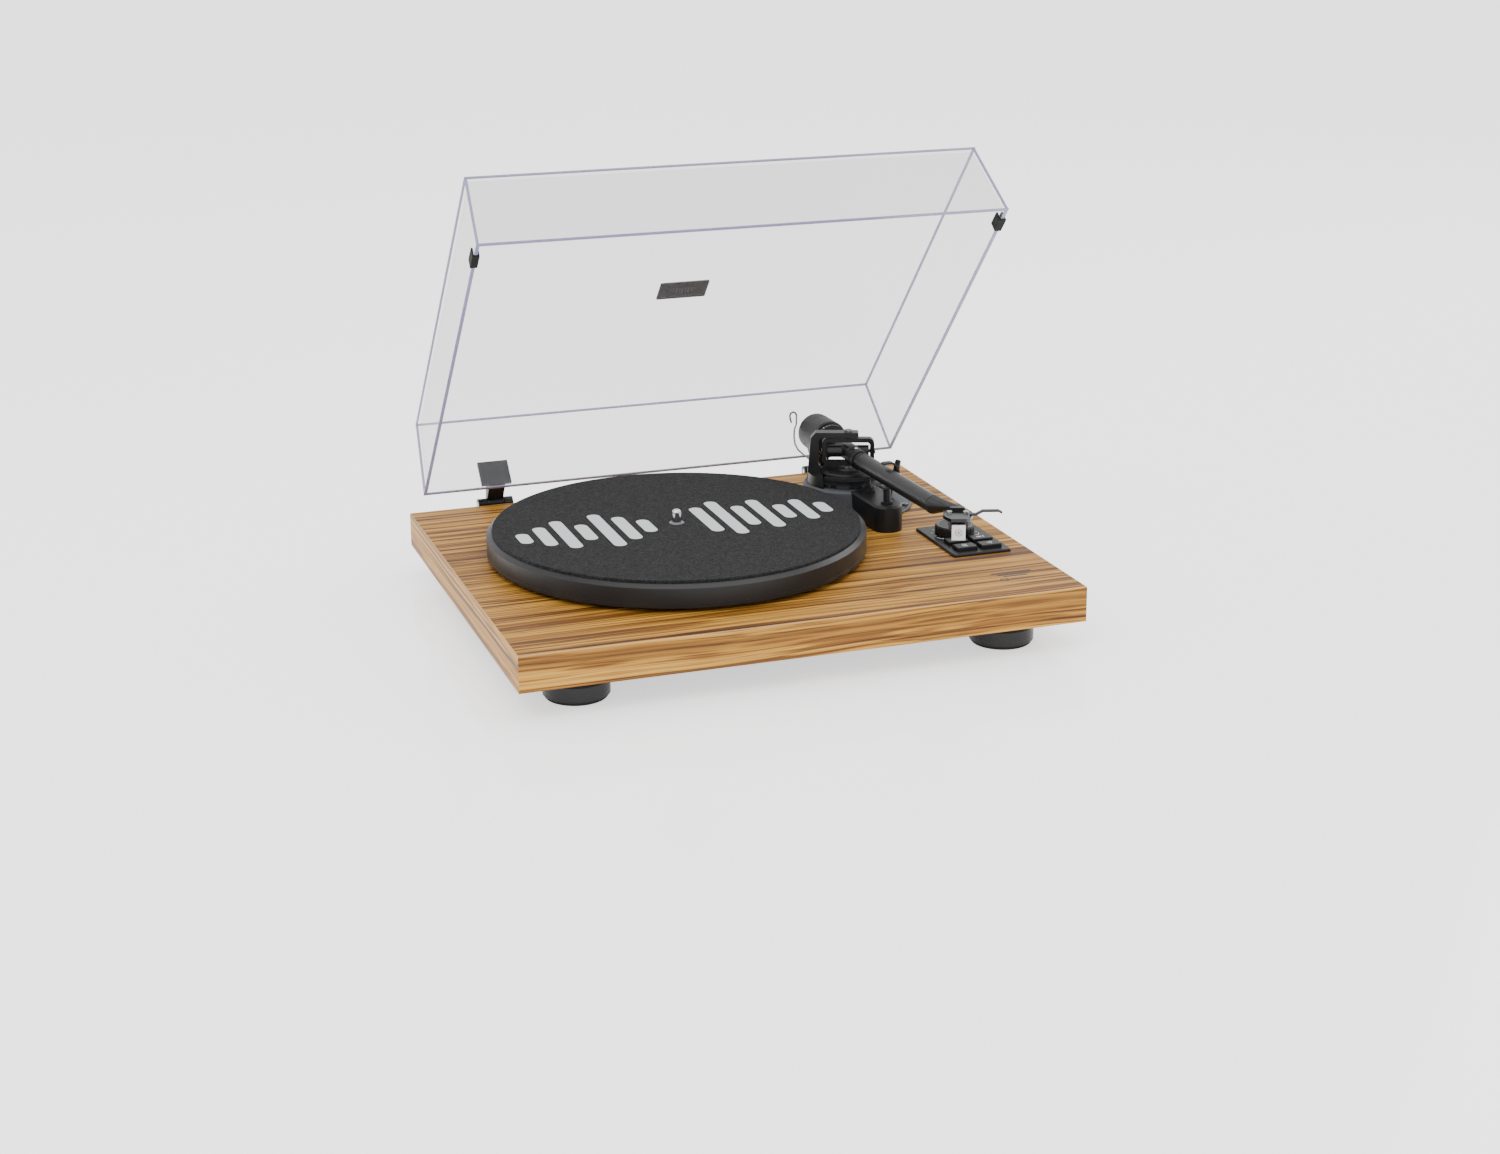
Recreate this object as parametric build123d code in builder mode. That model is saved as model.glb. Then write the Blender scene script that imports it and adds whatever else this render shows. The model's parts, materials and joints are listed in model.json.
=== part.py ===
"""Belt-drive turntable with a low wooden plinth, a black tonearm and a hinged clear cover."""
from build123d import *
import os
from math import sin, cos, radians

os.makedirs("parts", exist_ok=True)

# ---------------------------------------------------------------- driving dimensions, mm
COVER_OPEN = 47.4       # opening of the cover in the rest pose, degrees
PLINTH_W = 445.0
PLINTH_D = 372.0
PLINTH_H = 28.0
WALL = 12.0             # plinth side wall
FOOT_H = 22.0
FOOT_R = 25.0
FOOT_X = 170.0
FOOT_Y = 146.0
PAD_H = 3.0
PAN_T = 3.0
TOP = FOOT_H + PLINTH_H
CEILING = TOP - 8.0     # underside of the plinth's top panel

HINGE_BACK = 5.0        # hinge axis behind the plinth's rear face
HINGE_DROP = 0.0        # hinge axis below the plinth's top face
HINGE_X = 148.0
COVER_W = 424.0
COVER_D = 345.0
COVER_H = 68.0
COVER_WALL = 3.0
DRAFT_SIDE = 5.0
DRAFT_FRONT = 7.0
DRAFT_REAR = 4.0
RIM_AHEAD = 21.0        # closed rear rim ahead of the hinge axis
RIM_UP = 1.5            # closed rim above the hinge axis

swing = radians(COVER_OPEN)
REACH = (COVER_H + RIM_UP) * sin(swing) - (RIM_AHEAD + DRAFT_REAR) * cos(swing)
YC = -(HINGE_BACK + REACH) / 2  # plinth centre, so that the whole part is centred on the origin

FRONT = YC - PLINTH_D / 2
REAR = YC + PLINTH_D / 2

SPINDLE_X = -43.5
SPINDLE_Y = YC + 7.0
SPINDLE_R = 3.6         # centre pin that a record drops over
SHAFT_R = 4.0           # bearing shaft below it
SPINDLE_RISE = 11.0
PLATTER_R = 151.0
PLATTER_LOW = TOP + 3.2
PLATTER_SIDE = TOP + 19.0
PLATTER_TOP = TOP + 21.5
MAT_T = 2.5
MAT_R = 146.5
DRIVE_R = 98.0
PULLEY_R = 8.0
MOTOR_OUT = 118.0
MOTOR_ANGLE = 135.0
BELT_T = 0.8
BELT_GAP = 0.3
BELT_LOW = TOP + 8.0
BELT_W = 5.0

PIVOT_X = 133.0
PIVOT_Y = YC + 83.0
ARM_Z = TOP + 46.5
ARM_TURN = -87.5        # heading of the tube, degrees from +X
SHELL_TURN = -111.0     # heading of the headshell
TUBE_R = 7.3
TUBE_DROP = 2.0          # tube axis below the pivot points
BASE_R = 54.0
DISC_T = 2.4
REST_A = 78.0           # armrest along the tube
CUE_A = 41.5            # cue lift along the tube
CUE_TRAVEL = 3.0
BLOCK_H = 22.0
SHELL_A = 194.4         # cartridge screws along the tube
SHELL_Z = ARM_Z - 4.0   # underside of the headshell
WEIGHT_R = 16.0

PANEL_X = 181.5
PANEL_Y = YC - 46.5
PANEL_W = 50.0
PANEL_D = 79.0
PANEL_T = 2.2
KNOB_X = 181.0
KNOB_Y = YC - 31.0
KNOB_R = 16.0
KNOB_H = 7.0
BUTTON_W = 17.0
BUTTON_D = 11.0
BUTTON_RISE = 3.0
BUTTON_TRAVEL = 0.8

JACK_Z = FOOT_H + 14.0
PORT_X = 70.0

BOTTOM = (Align.CENTER, Align.CENTER, Align.MIN)
HANG = (Align.CENTER, Align.CENTER, Align.MAX)

motor_x = SPINDLE_X + MOTOR_OUT * cos(radians(MOTOR_ANGLE))
motor_y = SPINDLE_Y + MOTOR_OUT * sin(radians(MOTOR_ANGLE))

# directions of the tonearm: along the tube, to its right, and across and along the headshell
along = Vector(cos(radians(ARM_TURN)), sin(radians(ARM_TURN)), 0)
right = Vector(-sin(radians(ARM_TURN)), cos(radians(ARM_TURN)), 0)
ahead = Vector(cos(radians(SHELL_TURN)), sin(radians(SHELL_TURN)), 0)
across = Vector(-sin(radians(SHELL_TURN)), cos(radians(SHELL_TURN)), 0)
pivot = Vector(PIVOT_X, PIVOT_Y, ARM_Z)
floor_pivot = Vector(PIVOT_X, PIVOT_Y, 0)


def on_arm(a, r=0.0, z=ARM_Z):
    """A point a along the tube and r to its right, at height z."""
    return floor_pivot + along * a + right * r + Vector(0, 0, z)


def arm_section(a, z=ARM_Z):
    """Plane across the arm, a from the pivot: x to the right, y up, facing along the tube."""
    return Plane(origin=on_arm(a, 0, z), x_dir=right, z_dir=along)


arm_flat = Plane(origin=floor_pivot, x_dir=along, z_dir=(0, 0, 1))
yoke_plane = Plane(origin=floor_pivot, x_dir=across, z_dir=ahead)
shell_origin = on_arm(SHELL_A, 6.0, 0)
shell_flat = Plane(origin=shell_origin, x_dir=ahead, z_dir=(0, 0, 1))
cover_plane = Plane(
    origin=(0, REAR + HINGE_BACK, TOP - HINGE_DROP),
    x_dir=(1, 0, 0),
    z_dir=(0, sin(swing), cos(swing)),
)


def round_profile(x, y):
    """Upright plane through a vertical axis at x, y, for turned pieces."""
    return Plane(origin=(x, y, 0), x_dir=(1, 0, 0), z_dir=(0, -1, 0))


def upright_screw(x, y, z, head_r, head_h, shank_r, length):
    """A pan-head screw driven downwards, its head resting at z, with a cross recess."""
    with Locations((x, y, z)):
        Cylinder(head_r, head_h, align=BOTTOM)
        Cylinder(shank_r, length, align=HANG)
    with Locations((x, y, z + head_h)):
        Box(head_r * 1.2, 0.6, head_h, mode=Mode.SUBTRACT)
        Box(0.6, head_r * 1.2, head_h, mode=Mode.SUBTRACT)


def corner_points(x, y):
    """The four plan positions at plus and minus x and y about the plinth's centre."""
    return [(sx * x, YC + sy * y) for sx in (-1, 1) for sy in (-1, 1)]


def ring_points(x, y, radius, angles):
    """Plan positions on a circle."""
    return [(x + radius * cos(radians(a)), y + radius * sin(radians(a))) for a in angles]


PAN_SCREWS = corner_points(203, 125) + corner_points(158, 120)
FEET = corner_points(FOOT_X, FOOT_Y)
BEARING_SCREWS = ring_points(SPINDLE_X, SPINDLE_Y, 17.0, (90, 210, 330))
MOTOR_SCREWS = ring_points(motor_x, motor_y, 23.0, (45, 165, 285))
BASE_SCREWS = ring_points(PIVOT_X, PIVOT_Y, 49.6, (-35, 40, 100, 160))
BOARD_POSTS = [(x, y) for x in (20, 120) for y in (YC + 100, YC + 160)]
PANEL_POSTS = [(PANEL_X + sx * 18, PANEL_Y + sy * 34.8) for sx in (-1, 1) for sy in (-1, 1)]
BUTTONS = {
    "button_power": (171.5, YC - 56.0),
    "button_source": (192.5, YC - 56.0),
    "button_speed": (171.5, YC - 73.0),
    "button_pair": (192.5, YC - 73.0),
}

# ---------------------------------------------------------------- plinth and underside
with BuildPart() as plinth:
    with BuildSketch(Plane.XY.offset(FOOT_H)):
        with Locations((0, YC)):
            Rectangle(PLINTH_W, PLINTH_D)
    extrude(amount=PLINTH_H)
    chamfer(plinth.edges().group_by(Axis.Z)[-1], 0.6)
    with BuildSketch(Plane.XY.offset(FOOT_H)):
        with Locations((0, YC)):
            Rectangle(PLINTH_W - 2 * WALL, PLINTH_D - 2 * WALL)
    extrude(amount=CEILING - FOOT_H, mode=Mode.SUBTRACT)
    # solid corner blocks that take the feet
    with BuildSketch(Plane.XY.offset(FOOT_H + PAN_T)):
        with Locations(*corner_points(PLINTH_W / 2 - WALL - 30, PLINTH_D / 2 - WALL - 30)):
            Rectangle(60, 60)
    extrude(amount=CEILING - FOOT_H - PAN_T)
    # openings in the top panel
    with Locations((SPINDLE_X, SPINDLE_Y, TOP)):
        Cylinder(9.3, 20, mode=Mode.SUBTRACT)
    with Locations((motor_x, motor_y, TOP)):
        Cylinder(19, 20, mode=Mode.SUBTRACT)
    with Locations((PIVOT_X, PIVOT_Y, TOP)):
        Cylinder(13.8, 20, mode=Mode.SUBTRACT)
    with Locations((PANEL_X, PANEL_Y, TOP)):
        Box(PANEL_W - 6, PANEL_D - 6, 20, mode=Mode.SUBTRACT)
    # opening behind the sockets
    with Locations((PORT_X, REAR - WALL / 2, JACK_Z)):
        Box(112, WALL * 2, 12, mode=Mode.SUBTRACT)
    # screw holes
    with Locations(*[(x, y, TOP) for x, y in BEARING_SCREWS + MOTOR_SCREWS + BASE_SCREWS]):
        Cylinder(1.5, 14, mode=Mode.SUBTRACT)
    with Locations(*[(x, y, FOOT_H) for x, y in PAN_SCREWS]):
        Cylinder(1.5, 13, align=BOTTOM, mode=Mode.SUBTRACT)
    with Locations(*[(x, y, FOOT_H) for x, y in FEET]):
        Cylinder(2.0, 16, align=BOTTOM, mode=Mode.SUBTRACT)
    with Locations(*[Location((sx * HINGE_X + dx, REAR, FOOT_H + 8), (90, 0, 0))
                     for sx in (-1, 1) for dx in (-9, 9)]):
        Cylinder(1.5, 20, mode=Mode.SUBTRACT)
    with Locations(*[Location((PORT_X + sx * 58, REAR, JACK_Z), (90, 0, 0)) for sx in (-1, 1)]):
        Cylinder(1.5, 16, mode=Mode.SUBTRACT)
plinth.part.label = "plinth"
export_step(plinth.part, "parts/plinth.step")

with BuildPart() as base_pan:
    with BuildSketch(Plane.XY.offset(FOOT_H)):
        with Locations((0, YC)):
            Rectangle(PLINTH_W - 2 * WALL - 0.6, PLINTH_D - 2 * WALL - 0.6)
    extrude(amount=PAN_T)
    # posts under the main board
    with Locations(*[(x, y, FOOT_H + PAN_T) for x, y in BOARD_POSTS]):
        Cylinder(3, 3, align=BOTTOM)
    with Locations(*[(x, y, FOOT_H) for x, y in PAN_SCREWS]):
        Cylinder(1.7, 2 * PAN_T + 1, mode=Mode.SUBTRACT)
    with Locations(*[(x, y, FOOT_H) for x, y in FEET]):
        Cylinder(2.2, 2 * PAN_T + 1, mode=Mode.SUBTRACT)
    # cooling slots under the main board
    with Locations((70, YC + 130, FOOT_H)):
        with GridLocations(8, 0, 9, 1):
            Box(3, 36, 2 * PAN_T + 1, mode=Mode.SUBTRACT)
base_pan.part.label = "base_pan"
export_step(base_pan.part, "parts/base_pan.step")

with BuildPart() as underside_screws:
    with Locations(*[(x, y, FOOT_H) for x, y in PAN_SCREWS]):
        Cylinder(3.0, 1.8, align=HANG)
        Cylinder(1.45, 12, align=BOTTOM)
    with Locations(*[(x, y, FOOT_H - 12) for x, y in FEET]):
        Cylinder(4.0, 2.4, align=HANG)
        Cylinder(1.95, 26, align=BOTTOM)
underside_screws.part.label = "underside_screws"
export_step(underside_screws.part, "parts/underside_screws.step")

FOOT_NAMES = ("foot_front_left", "foot_rear_left", "foot_front_right", "foot_rear_right")
for foot_name, (foot_x, foot_y) in zip(FOOT_NAMES, FEET):
    with BuildPart() as foot:
        with BuildSketch(round_profile(foot_x, foot_y)):
            with BuildLine():
                Polyline(
                    (2.1, FOOT_H), (FOOT_R - 3, FOOT_H), (FOOT_R - 3, FOOT_H - 4),
                    (FOOT_R - 1.2, FOOT_H - 5.5), (FOOT_R, FOOT_H - 8), (FOOT_R, PAD_H),
                    (4.6, PAD_H), (4.6, FOOT_H - 12), (2.1, FOOT_H - 12), (2.1, FOOT_H),
                )
            make_face()
        revolve(axis=Axis((foot_x, foot_y, 0), (0, 0, 1)))
    foot.part.label = foot_name
    export_step(foot.part, f"parts/{foot_name}.step")

with BuildPart() as foot_pads:
    with Locations(*[(x, y, 0) for x, y in FEET]):
        Cylinder(FOOT_R - 1.5, PAD_H, align=BOTTOM)
    chamfer(foot_pads.edges().group_by(Axis.Z)[0], 0.8)
    with Locations(*[(x, y, 0) for x, y in FEET]):
        Cylinder(5.0, 3 * PAD_H, mode=Mode.SUBTRACT)
foot_pads.part.label = "foot_pads"
export_step(foot_pads.part, "parts/foot_pads.step")

# ---------------------------------------------------------------- platter bearing
SLEEVE_R = 9.0
BUSH_R = 5.5
BALL_R = 2.0
SPINDLE_LOW = FOOT_H + 12.0
with BuildPart() as bearing_housing:
    with BuildSketch(round_profile(SPINDLE_X, SPINDLE_Y)):
        with BuildLine():
            Polyline(
                (0, FOOT_H + 5), (SLEEVE_R, FOOT_H + 5), (SLEEVE_R, TOP), (22, TOP),
                (22, TOP + 3), (SLEEVE_R, TOP + 3), (SLEEVE_R - 1, TOP + 10), (BUSH_R, TOP + 10),
                (BUSH_R, FOOT_H + 8), (0, FOOT_H + 8), (0, FOOT_H + 5),
            )
        make_face()
    revolve(axis=Axis((SPINDLE_X, SPINDLE_Y, 0), (0, 0, 1)))
    with Locations(*[(x, y, TOP) for x, y in BEARING_SCREWS]):
        Cylinder(1.6, 10, mode=Mode.SUBTRACT)
bearing_housing.part.label = "bearing_housing"
export_step(bearing_housing.part, "parts/bearing_housing.step")

with BuildPart() as bearing_bushes:
    with Locations((SPINDLE_X, SPINDLE_Y, FOOT_H + 14), (SPINDLE_X, SPINDLE_Y, TOP + 3)):
        Cylinder(BUSH_R, 6, align=BOTTOM)
        Cylinder(SHAFT_R + 0.04, 6, align=BOTTOM, mode=Mode.SUBTRACT)
bearing_bushes.part.label = "bearing_bushes"
export_step(bearing_bushes.part, "parts/bearing_bushes.step")

with BuildPart() as thrust_ball:
    with Locations((SPINDLE_X, SPINDLE_Y, FOOT_H + 8 + BALL_R)):
        Sphere(BALL_R)
thrust_ball.part.label = "thrust_ball"
export_step(thrust_ball.part, "parts/thrust_ball.step")

SPINDLE_TOP = PLATTER_TOP + MAT_T + SPINDLE_RISE
with BuildPart() as spindle_shaft:
    with Locations((SPINDLE_X, SPINDLE_Y, SPINDLE_LOW + 0.05)):
        Cylinder(SPINDLE_R, SPINDLE_TOP - SPINDLE_LOW - 0.05, align=BOTTOM)
        Cylinder(SHAFT_R, PLATTER_TOP + 0.5 - SPINDLE_LOW - 0.05, align=BOTTOM)
    chamfer(spindle_shaft.edges().group_by(Axis.Z)[0], 0.6)
    fillet(spindle_shaft.edges().group_by(Axis.Z)[-1], 2.2)
spindle_shaft.part.label = "spindle_shaft"
export_step(spindle_shaft.part, "parts/spindle_shaft.step")

with BuildPart() as platter:
    with BuildSketch(round_profile(SPINDLE_X, SPINDLE_Y)):
        with BuildLine():
            Polyline(
                (SHAFT_R, TOP + 12), (14, TOP + 12), (16, TOP + 18), (DRIVE_R - 4, TOP + 18),
                (DRIVE_R - 4, TOP + 7.5), (DRIVE_R, TOP + 7.5), (DRIVE_R, TOP + 18),
                (138, TOP + 18), (140, PLATTER_LOW + 1), (141, PLATTER_LOW),
                (PLATTER_R - 0.8, PLATTER_LOW), (PLATTER_R, PLATTER_LOW + 0.8),
                (PLATTER_R, PLATTER_SIDE), (PLATTER_R - 4, PLATTER_TOP),
                (SHAFT_R, PLATTER_TOP), (SHAFT_R, TOP + 12),
            )
        make_face()
    revolve(axis=Axis((SPINDLE_X, SPINDLE_Y, 0), (0, 0, 1)))
platter.part.label = "platter"
export_step(platter.part, "parts/platter.step")

with BuildPart() as slip_mat:
    with Locations((SPINDLE_X, SPINDLE_Y, PLATTER_TOP)):
        Cylinder(MAT_R, MAT_T, align=BOTTOM)
    fillet(slip_mat.edges().group_by(Axis.Z)[-1], 0.8)
    with Locations((SPINDLE_X, SPINDLE_Y, PLATTER_TOP)):
        Cylinder(SPINDLE_R + 1.2, 3 * MAT_T, mode=Mode.SUBTRACT)
slip_mat.part.label = "slip_mat"
export_step(slip_mat.part, "parts/slip_mat.step")

# ---------------------------------------------------------------- motor and belt
with BuildPart() as motor_body:
    with Locations((motor_x, motor_y, TOP)):
        Cylinder(17, 20, align=HANG)
        Cylinder(27, 1.2, align=BOTTOM)
        Cylinder(4, 3, align=BOTTOM)
    with Locations((motor_x, motor_y, TOP + 3)):
        Cylinder(1.25, 14, align=HANG, mode=Mode.SUBTRACT)
    with Locations(*[(x, y, TOP) for x, y in MOTOR_SCREWS]):
        Cylinder(1.6, 6, mode=Mode.SUBTRACT)
motor_body.part.label = "motor_body"
export_step(motor_body.part, "parts/motor_body.step")

with BuildPart() as motor_pulley:
    with Locations((motor_x, motor_y, BELT_LOW - 0.5)):
        Cylinder(PULLEY_R, BELT_W + 1, align=BOTTOM)
        Cylinder(PULLEY_R + 1.4, 1.2, align=HANG)
        Cylinder(1.2, 14, align=HANG)
    with Locations((motor_x, motor_y, BELT_LOW + BELT_W + 0.5)):
        Cylinder(PULLEY_R + 1.4, 1.2, align=BOTTOM)
    # flat on the shaft end shows its turn
    with Locations((motor_x + PULLEY_R - 3, motor_y, BELT_LOW + BELT_W + 1.7)):
        Cylinder(1.0, 1.4, mode=Mode.SUBTRACT)
motor_pulley.part.label = "motor_pulley"
export_step(motor_pulley.part, "parts/motor_pulley.step")

with BuildPart() as drive_belt:
    with BuildSketch(Plane.XY.offset(BELT_LOW)):
        with Locations((SPINDLE_X, SPINDLE_Y)):
            Circle(DRIVE_R + BELT_GAP + BELT_T)
        with Locations((motor_x, motor_y)):
            Circle(PULLEY_R + BELT_GAP + BELT_T)
        make_hull()
    extrude(amount=BELT_W)
    with BuildSketch(Plane.XY.offset(BELT_LOW)):
        with Locations((SPINDLE_X, SPINDLE_Y)):
            Circle(DRIVE_R + BELT_GAP)
        with Locations((motor_x, motor_y)):
            Circle(PULLEY_R + BELT_GAP)
        make_hull()
    extrude(amount=BELT_W, mode=Mode.SUBTRACT)
drive_belt.part.label = "drive_belt"
export_step(drive_belt.part, "parts/drive_belt.step")

# ---------------------------------------------------------------- tonearm base
BLOCK_W = 25.0
BLOCK_BACK = 33.0
CONE_TOP = TOP + 21.0
with BuildPart() as arm_base_disc:
    with BuildSketch(round_profile(PIVOT_X, PIVOT_Y)):
        with BuildLine():
            Polyline(
                (9, TOP - 7), (13.6, TOP - 7), (13.6, TOP), (BASE_R, TOP), (BASE_R, TOP + DISC_T - 0.8),
                (BASE_R - 0.8, TOP + DISC_T), (40.4, TOP + DISC_T),
                (38, CONE_TOP - 1.6), (36.2, CONE_TOP), (9, CONE_TOP), (9, TOP - 7),
            )
        make_face()
    revolve(axis=Axis((PIVOT_X, PIVOT_Y, 0), (0, 0, 1)))
    with Locations(*[(x, y, TOP) for x, y in BASE_SCREWS]):
        Cylinder(1.6, 10, mode=Mode.SUBTRACT)
    # notch that the cue lift's block stands in
    with Locations(arm_flat.offset(TOP + DISC_T)):
        with Locations((BLOCK_BACK - 0.15, 0)):
            Box(30, BLOCK_W + 0.3, 30, align=(Align.MIN, Align.CENTER, Align.MIN), mode=Mode.SUBTRACT)
arm_base_disc.part.label = "arm_base_disc"
export_step(arm_base_disc.part, "parts/arm_base_disc.step")

TURRET_R = 24.0
TURRET_TOP = TOP + 31.5
with BuildPart() as arm_turret:
    with BuildSketch(round_profile(PIVOT_X, PIVOT_Y)):
        with BuildLine():
            Polyline(
                (4, CONE_TOP), (31, CONE_TOP), (30.2, CONE_TOP + 3), (23, CONE_TOP + 4),
                (21.6, CONE_TOP + 4.6), (21.6, CONE_TOP + 6.4), (TURRET_R, CONE_TOP + 7.2),
                (TURRET_R, TURRET_TOP - 1.2), (TURRET_R - 1.2, TURRET_TOP), (4, TURRET_TOP), (4, CONE_TOP),
            )
        make_face()
    revolve(axis=Axis((PIVOT_X, PIVOT_Y, 0), (0, 0, 1)))
    # finger notches round the lower flange
    with Locations((PIVOT_X, PIVOT_Y, CONE_TOP + 2.4)):
        with PolarLocations(31, 12, 15):
            Box(3, 5, 5.2, mode=Mode.SUBTRACT)
arm_turret.part.label = "arm_turret"
export_step(arm_turret.part, "parts/arm_turret.step")

YOKE_TOP = ARM_Z + 17.0
RING_H = 23.6
RING_W = 44.0
RING_BAR = 3.6
RING_DEPTH = 7.0
with BuildPart() as arm_yoke:
    with BuildSketch(yoke_plane):
        with BuildLine():
            Polyline(
                (-35, CONE_TOP), (-31.6, YOKE_TOP - 4.5), (-27.5, YOKE_TOP), (8.6, YOKE_TOP),
                (8.6, ARM_Z + 12.6), (-22.6, ARM_Z + 12.6), (-24.8, ARM_Z + 10.4),
                (-24.8, ARM_Z - 11.5), (-20, ARM_Z - 15), (-20, CONE_TOP), (-35, CONE_TOP),
            )
        make_face()
    extrude(amount=5, both=True)
    fillet(arm_yoke.edges().filter_by(lambda e: abs(e.tangent_at(0.5).dot(ahead)) > 0.9), 1.2)
    # broad foot round the turret
    with BuildSketch(Plane(origin=(PIVOT_X, PIVOT_Y, CONE_TOP), x_dir=across, z_dir=(0, 0, 1))):
        Circle(35)
        with Locations((20, 0)):
            Rectangle(81, 80, mode=Mode.SUBTRACT)
        with Locations((0, 34)):
            Rectangle(90, 40, mode=Mode.SUBTRACT)
    extrude(amount=8.5, taper=6)
    with Locations((PIVOT_X, PIVOT_Y, YOKE_TOP)):
        Cylinder(2.05, 20, mode=Mode.SUBTRACT)
    with Locations((PIVOT_X, PIVOT_Y, CONE_TOP)):
        Cylinder(TURRET_R + 0.15, 30, mode=Mode.SUBTRACT)
        Cylinder(31.15, 8.2, mode=Mode.SUBTRACT)
arm_yoke.part.label = "arm_yoke"
export_step(arm_yoke.part, "parts/arm_yoke.step")

RING_LOW = ARM_Z - RING_H / 2
RING_HIGH = ARM_Z + RING_H / 2
with BuildPart() as upper_pivot_screw:
    with Locations((PIVOT_X, PIVOT_Y, YOKE_TOP)):
        Cylinder(3.3, 1.6, align=BOTTOM)
        Cylinder(2.0, YOKE_TOP - RING_HIGH - 0.3, align=HANG)
    with Locations((PIVOT_X, PIVOT_Y, YOKE_TOP + 1.6)):
        Box(5.6, 0.8, 1.6, mode=Mode.SUBTRACT)
    with Locations((PIVOT_X, PIVOT_Y, RING_HIGH + 0.3)):
        Cylinder(0.9, 2.2, align=HANG)
upper_pivot_screw.part.label = "upper_pivot_screw"
export_step(upper_pivot_screw.part, "parts/upper_pivot_screw.step")

with BuildPart() as lower_pivot_post:
    with Locations((PIVOT_X, PIVOT_Y, TURRET_TOP)):
        Cylinder(9, 1.2, align=BOTTOM)
        Cylinder(4.5, RING_LOW - TURRET_TOP - 0.5, align=BOTTOM)
        Cylinder(3.9, 8, align=HANG)
    with Locations((PIVOT_X, PIVOT_Y, RING_LOW - 0.5)):
        Cylinder(0.9, 2.5, align=BOTTOM)
lower_pivot_post.part.label = "lower_pivot_post"
export_step(lower_pivot_post.part, "parts/lower_pivot_post.step")

# ---------------------------------------------------------------- tonearm
with BuildPart() as gimbal_ring:
    with BuildSketch(yoke_plane):
        with Locations((0, ARM_Z)):
            RectangleRounded(RING_W, RING_H, 5)
            RectangleRounded(RING_W - 2 * RING_BAR, RING_H - 2 * RING_BAR, 2.5, mode=Mode.SUBTRACT)
    extrude(amount=RING_DEPTH / 2, both=True)
    with Locations((PIVOT_X, PIVOT_Y, RING_HIGH)):
        Cylinder(0.95, 5, mode=Mode.SUBTRACT)
    with Locations((PIVOT_X, PIVOT_Y, RING_LOW)):
        Cylinder(0.95, 5, mode=Mode.SUBTRACT)
    with Locations(Plane(origin=pivot, x_dir=ahead, z_dir=across)):
        Cylinder(1.25, RING_W - 2, mode=Mode.SUBTRACT)
gimbal_ring.part.label = "gimbal_ring"
export_step(gimbal_ring.part, "parts/gimbal_ring.step")

with BuildPart() as arm_pivot_block:
    with BuildSketch(arm_section(-12)):
        RectangleRounded(14, 12.4, 4)
    extrude(amount=24)
    chamfer(arm_pivot_block.edges().filter_by(GeomType.CIRCLE), 0.8)
    # axle drum and its two points
    with Locations(Plane(origin=pivot, x_dir=ahead, z_dir=across)):
        Cylinder(5.2, RING_W - 2 * RING_BAR - 2)
        Cylinder(1.2, RING_W - 3)
    # front collar and rear stub
    with BuildSketch(arm_section(10, ARM_Z - TUBE_DROP / 2)):
        RectangleRounded(15, 14, 5)
    with BuildSketch(arm_section(19, ARM_Z - TUBE_DROP)):
        Circle(TUBE_R + 0.8)
    loft()
    with BuildSketch(arm_section(19, ARM_Z - TUBE_DROP)):
        Circle(TUBE_R + 0.8)
    extrude(amount=7)
    with BuildSketch(arm_section(-12)):
        Circle(4.4)
    extrude(amount=-63)
arm_pivot_block.part.label = "arm_pivot_block"
export_step(arm_pivot_block.part, "parts/arm_pivot_block.step")

TUBE_END = 166.0
TONGUE_T = 2.4
with BuildPart() as arm_tube:
    with BuildSketch(arm_section(26, ARM_Z - TUBE_DROP)):
        Circle(TUBE_R)
    extrude(amount=TUBE_END - 26)
    with BuildSketch(arm_section(TUBE_END, ARM_Z - TUBE_DROP)):
        Circle(TUBE_R)
    with BuildSketch(Plane(origin=shell_origin + ahead * -11 + Vector(0, 0, SHELL_Z + 2.6 + TONGUE_T / 2),
                           x_dir=across, z_dir=ahead)) as tongue:
        RectangleRounded(12, TONGUE_T, 1.0)
    loft()
    # flat tongue that lies on the headshell
    extrude(tongue.sketch, amount=5)
arm_tube.part.label = "arm_tube"
export_step(arm_tube.part, "parts/arm_tube.step")

with BuildPart() as headshell:
    with BuildSketch(shell_flat.offset(SHELL_Z)):
        with BuildLine():
            Polyline(
                (-10, -6), (-6, -11), (5, -11.6), (11, -9.4), (16, -6), (16, 6),
                (11, 9.4), (5, 11.6), (-6, 11), (-10, 6), (-10, -6),
            )
        make_face()
    extrude(amount=2.6)
    fillet(headshell.edges().filter_by(Axis.Z), 1.5)
    with Locations(shell_flat.offset(SHELL_Z)):
        with Locations((0, 6.35), (0, -6.35)):
            Cylinder(1.35, 10, mode=Mode.SUBTRACT)
headshell.part.label = "headshell"
export_step(headshell.part, "parts/headshell.step")

with BuildPart() as headshell_screws:
    with Locations(shell_flat.offset(SHELL_Z + 2.6)):
        with Locations((0, 6.35), (0, -6.35)):
            Cylinder(2.1, 1.6, align=BOTTOM)
            Cylinder(1.25, 9, align=HANG)
    with Locations(shell_flat.offset(SHELL_Z + 4.2)):
        with Locations((0, 6.35), (0, -6.35)):
            Box(0.6, 3.2, 1.4, mode=Mode.SUBTRACT)
headshell_screws.part.label = "headshell_screws"
export_step(headshell_screws.part, "parts/headshell_screws.step")

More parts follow.
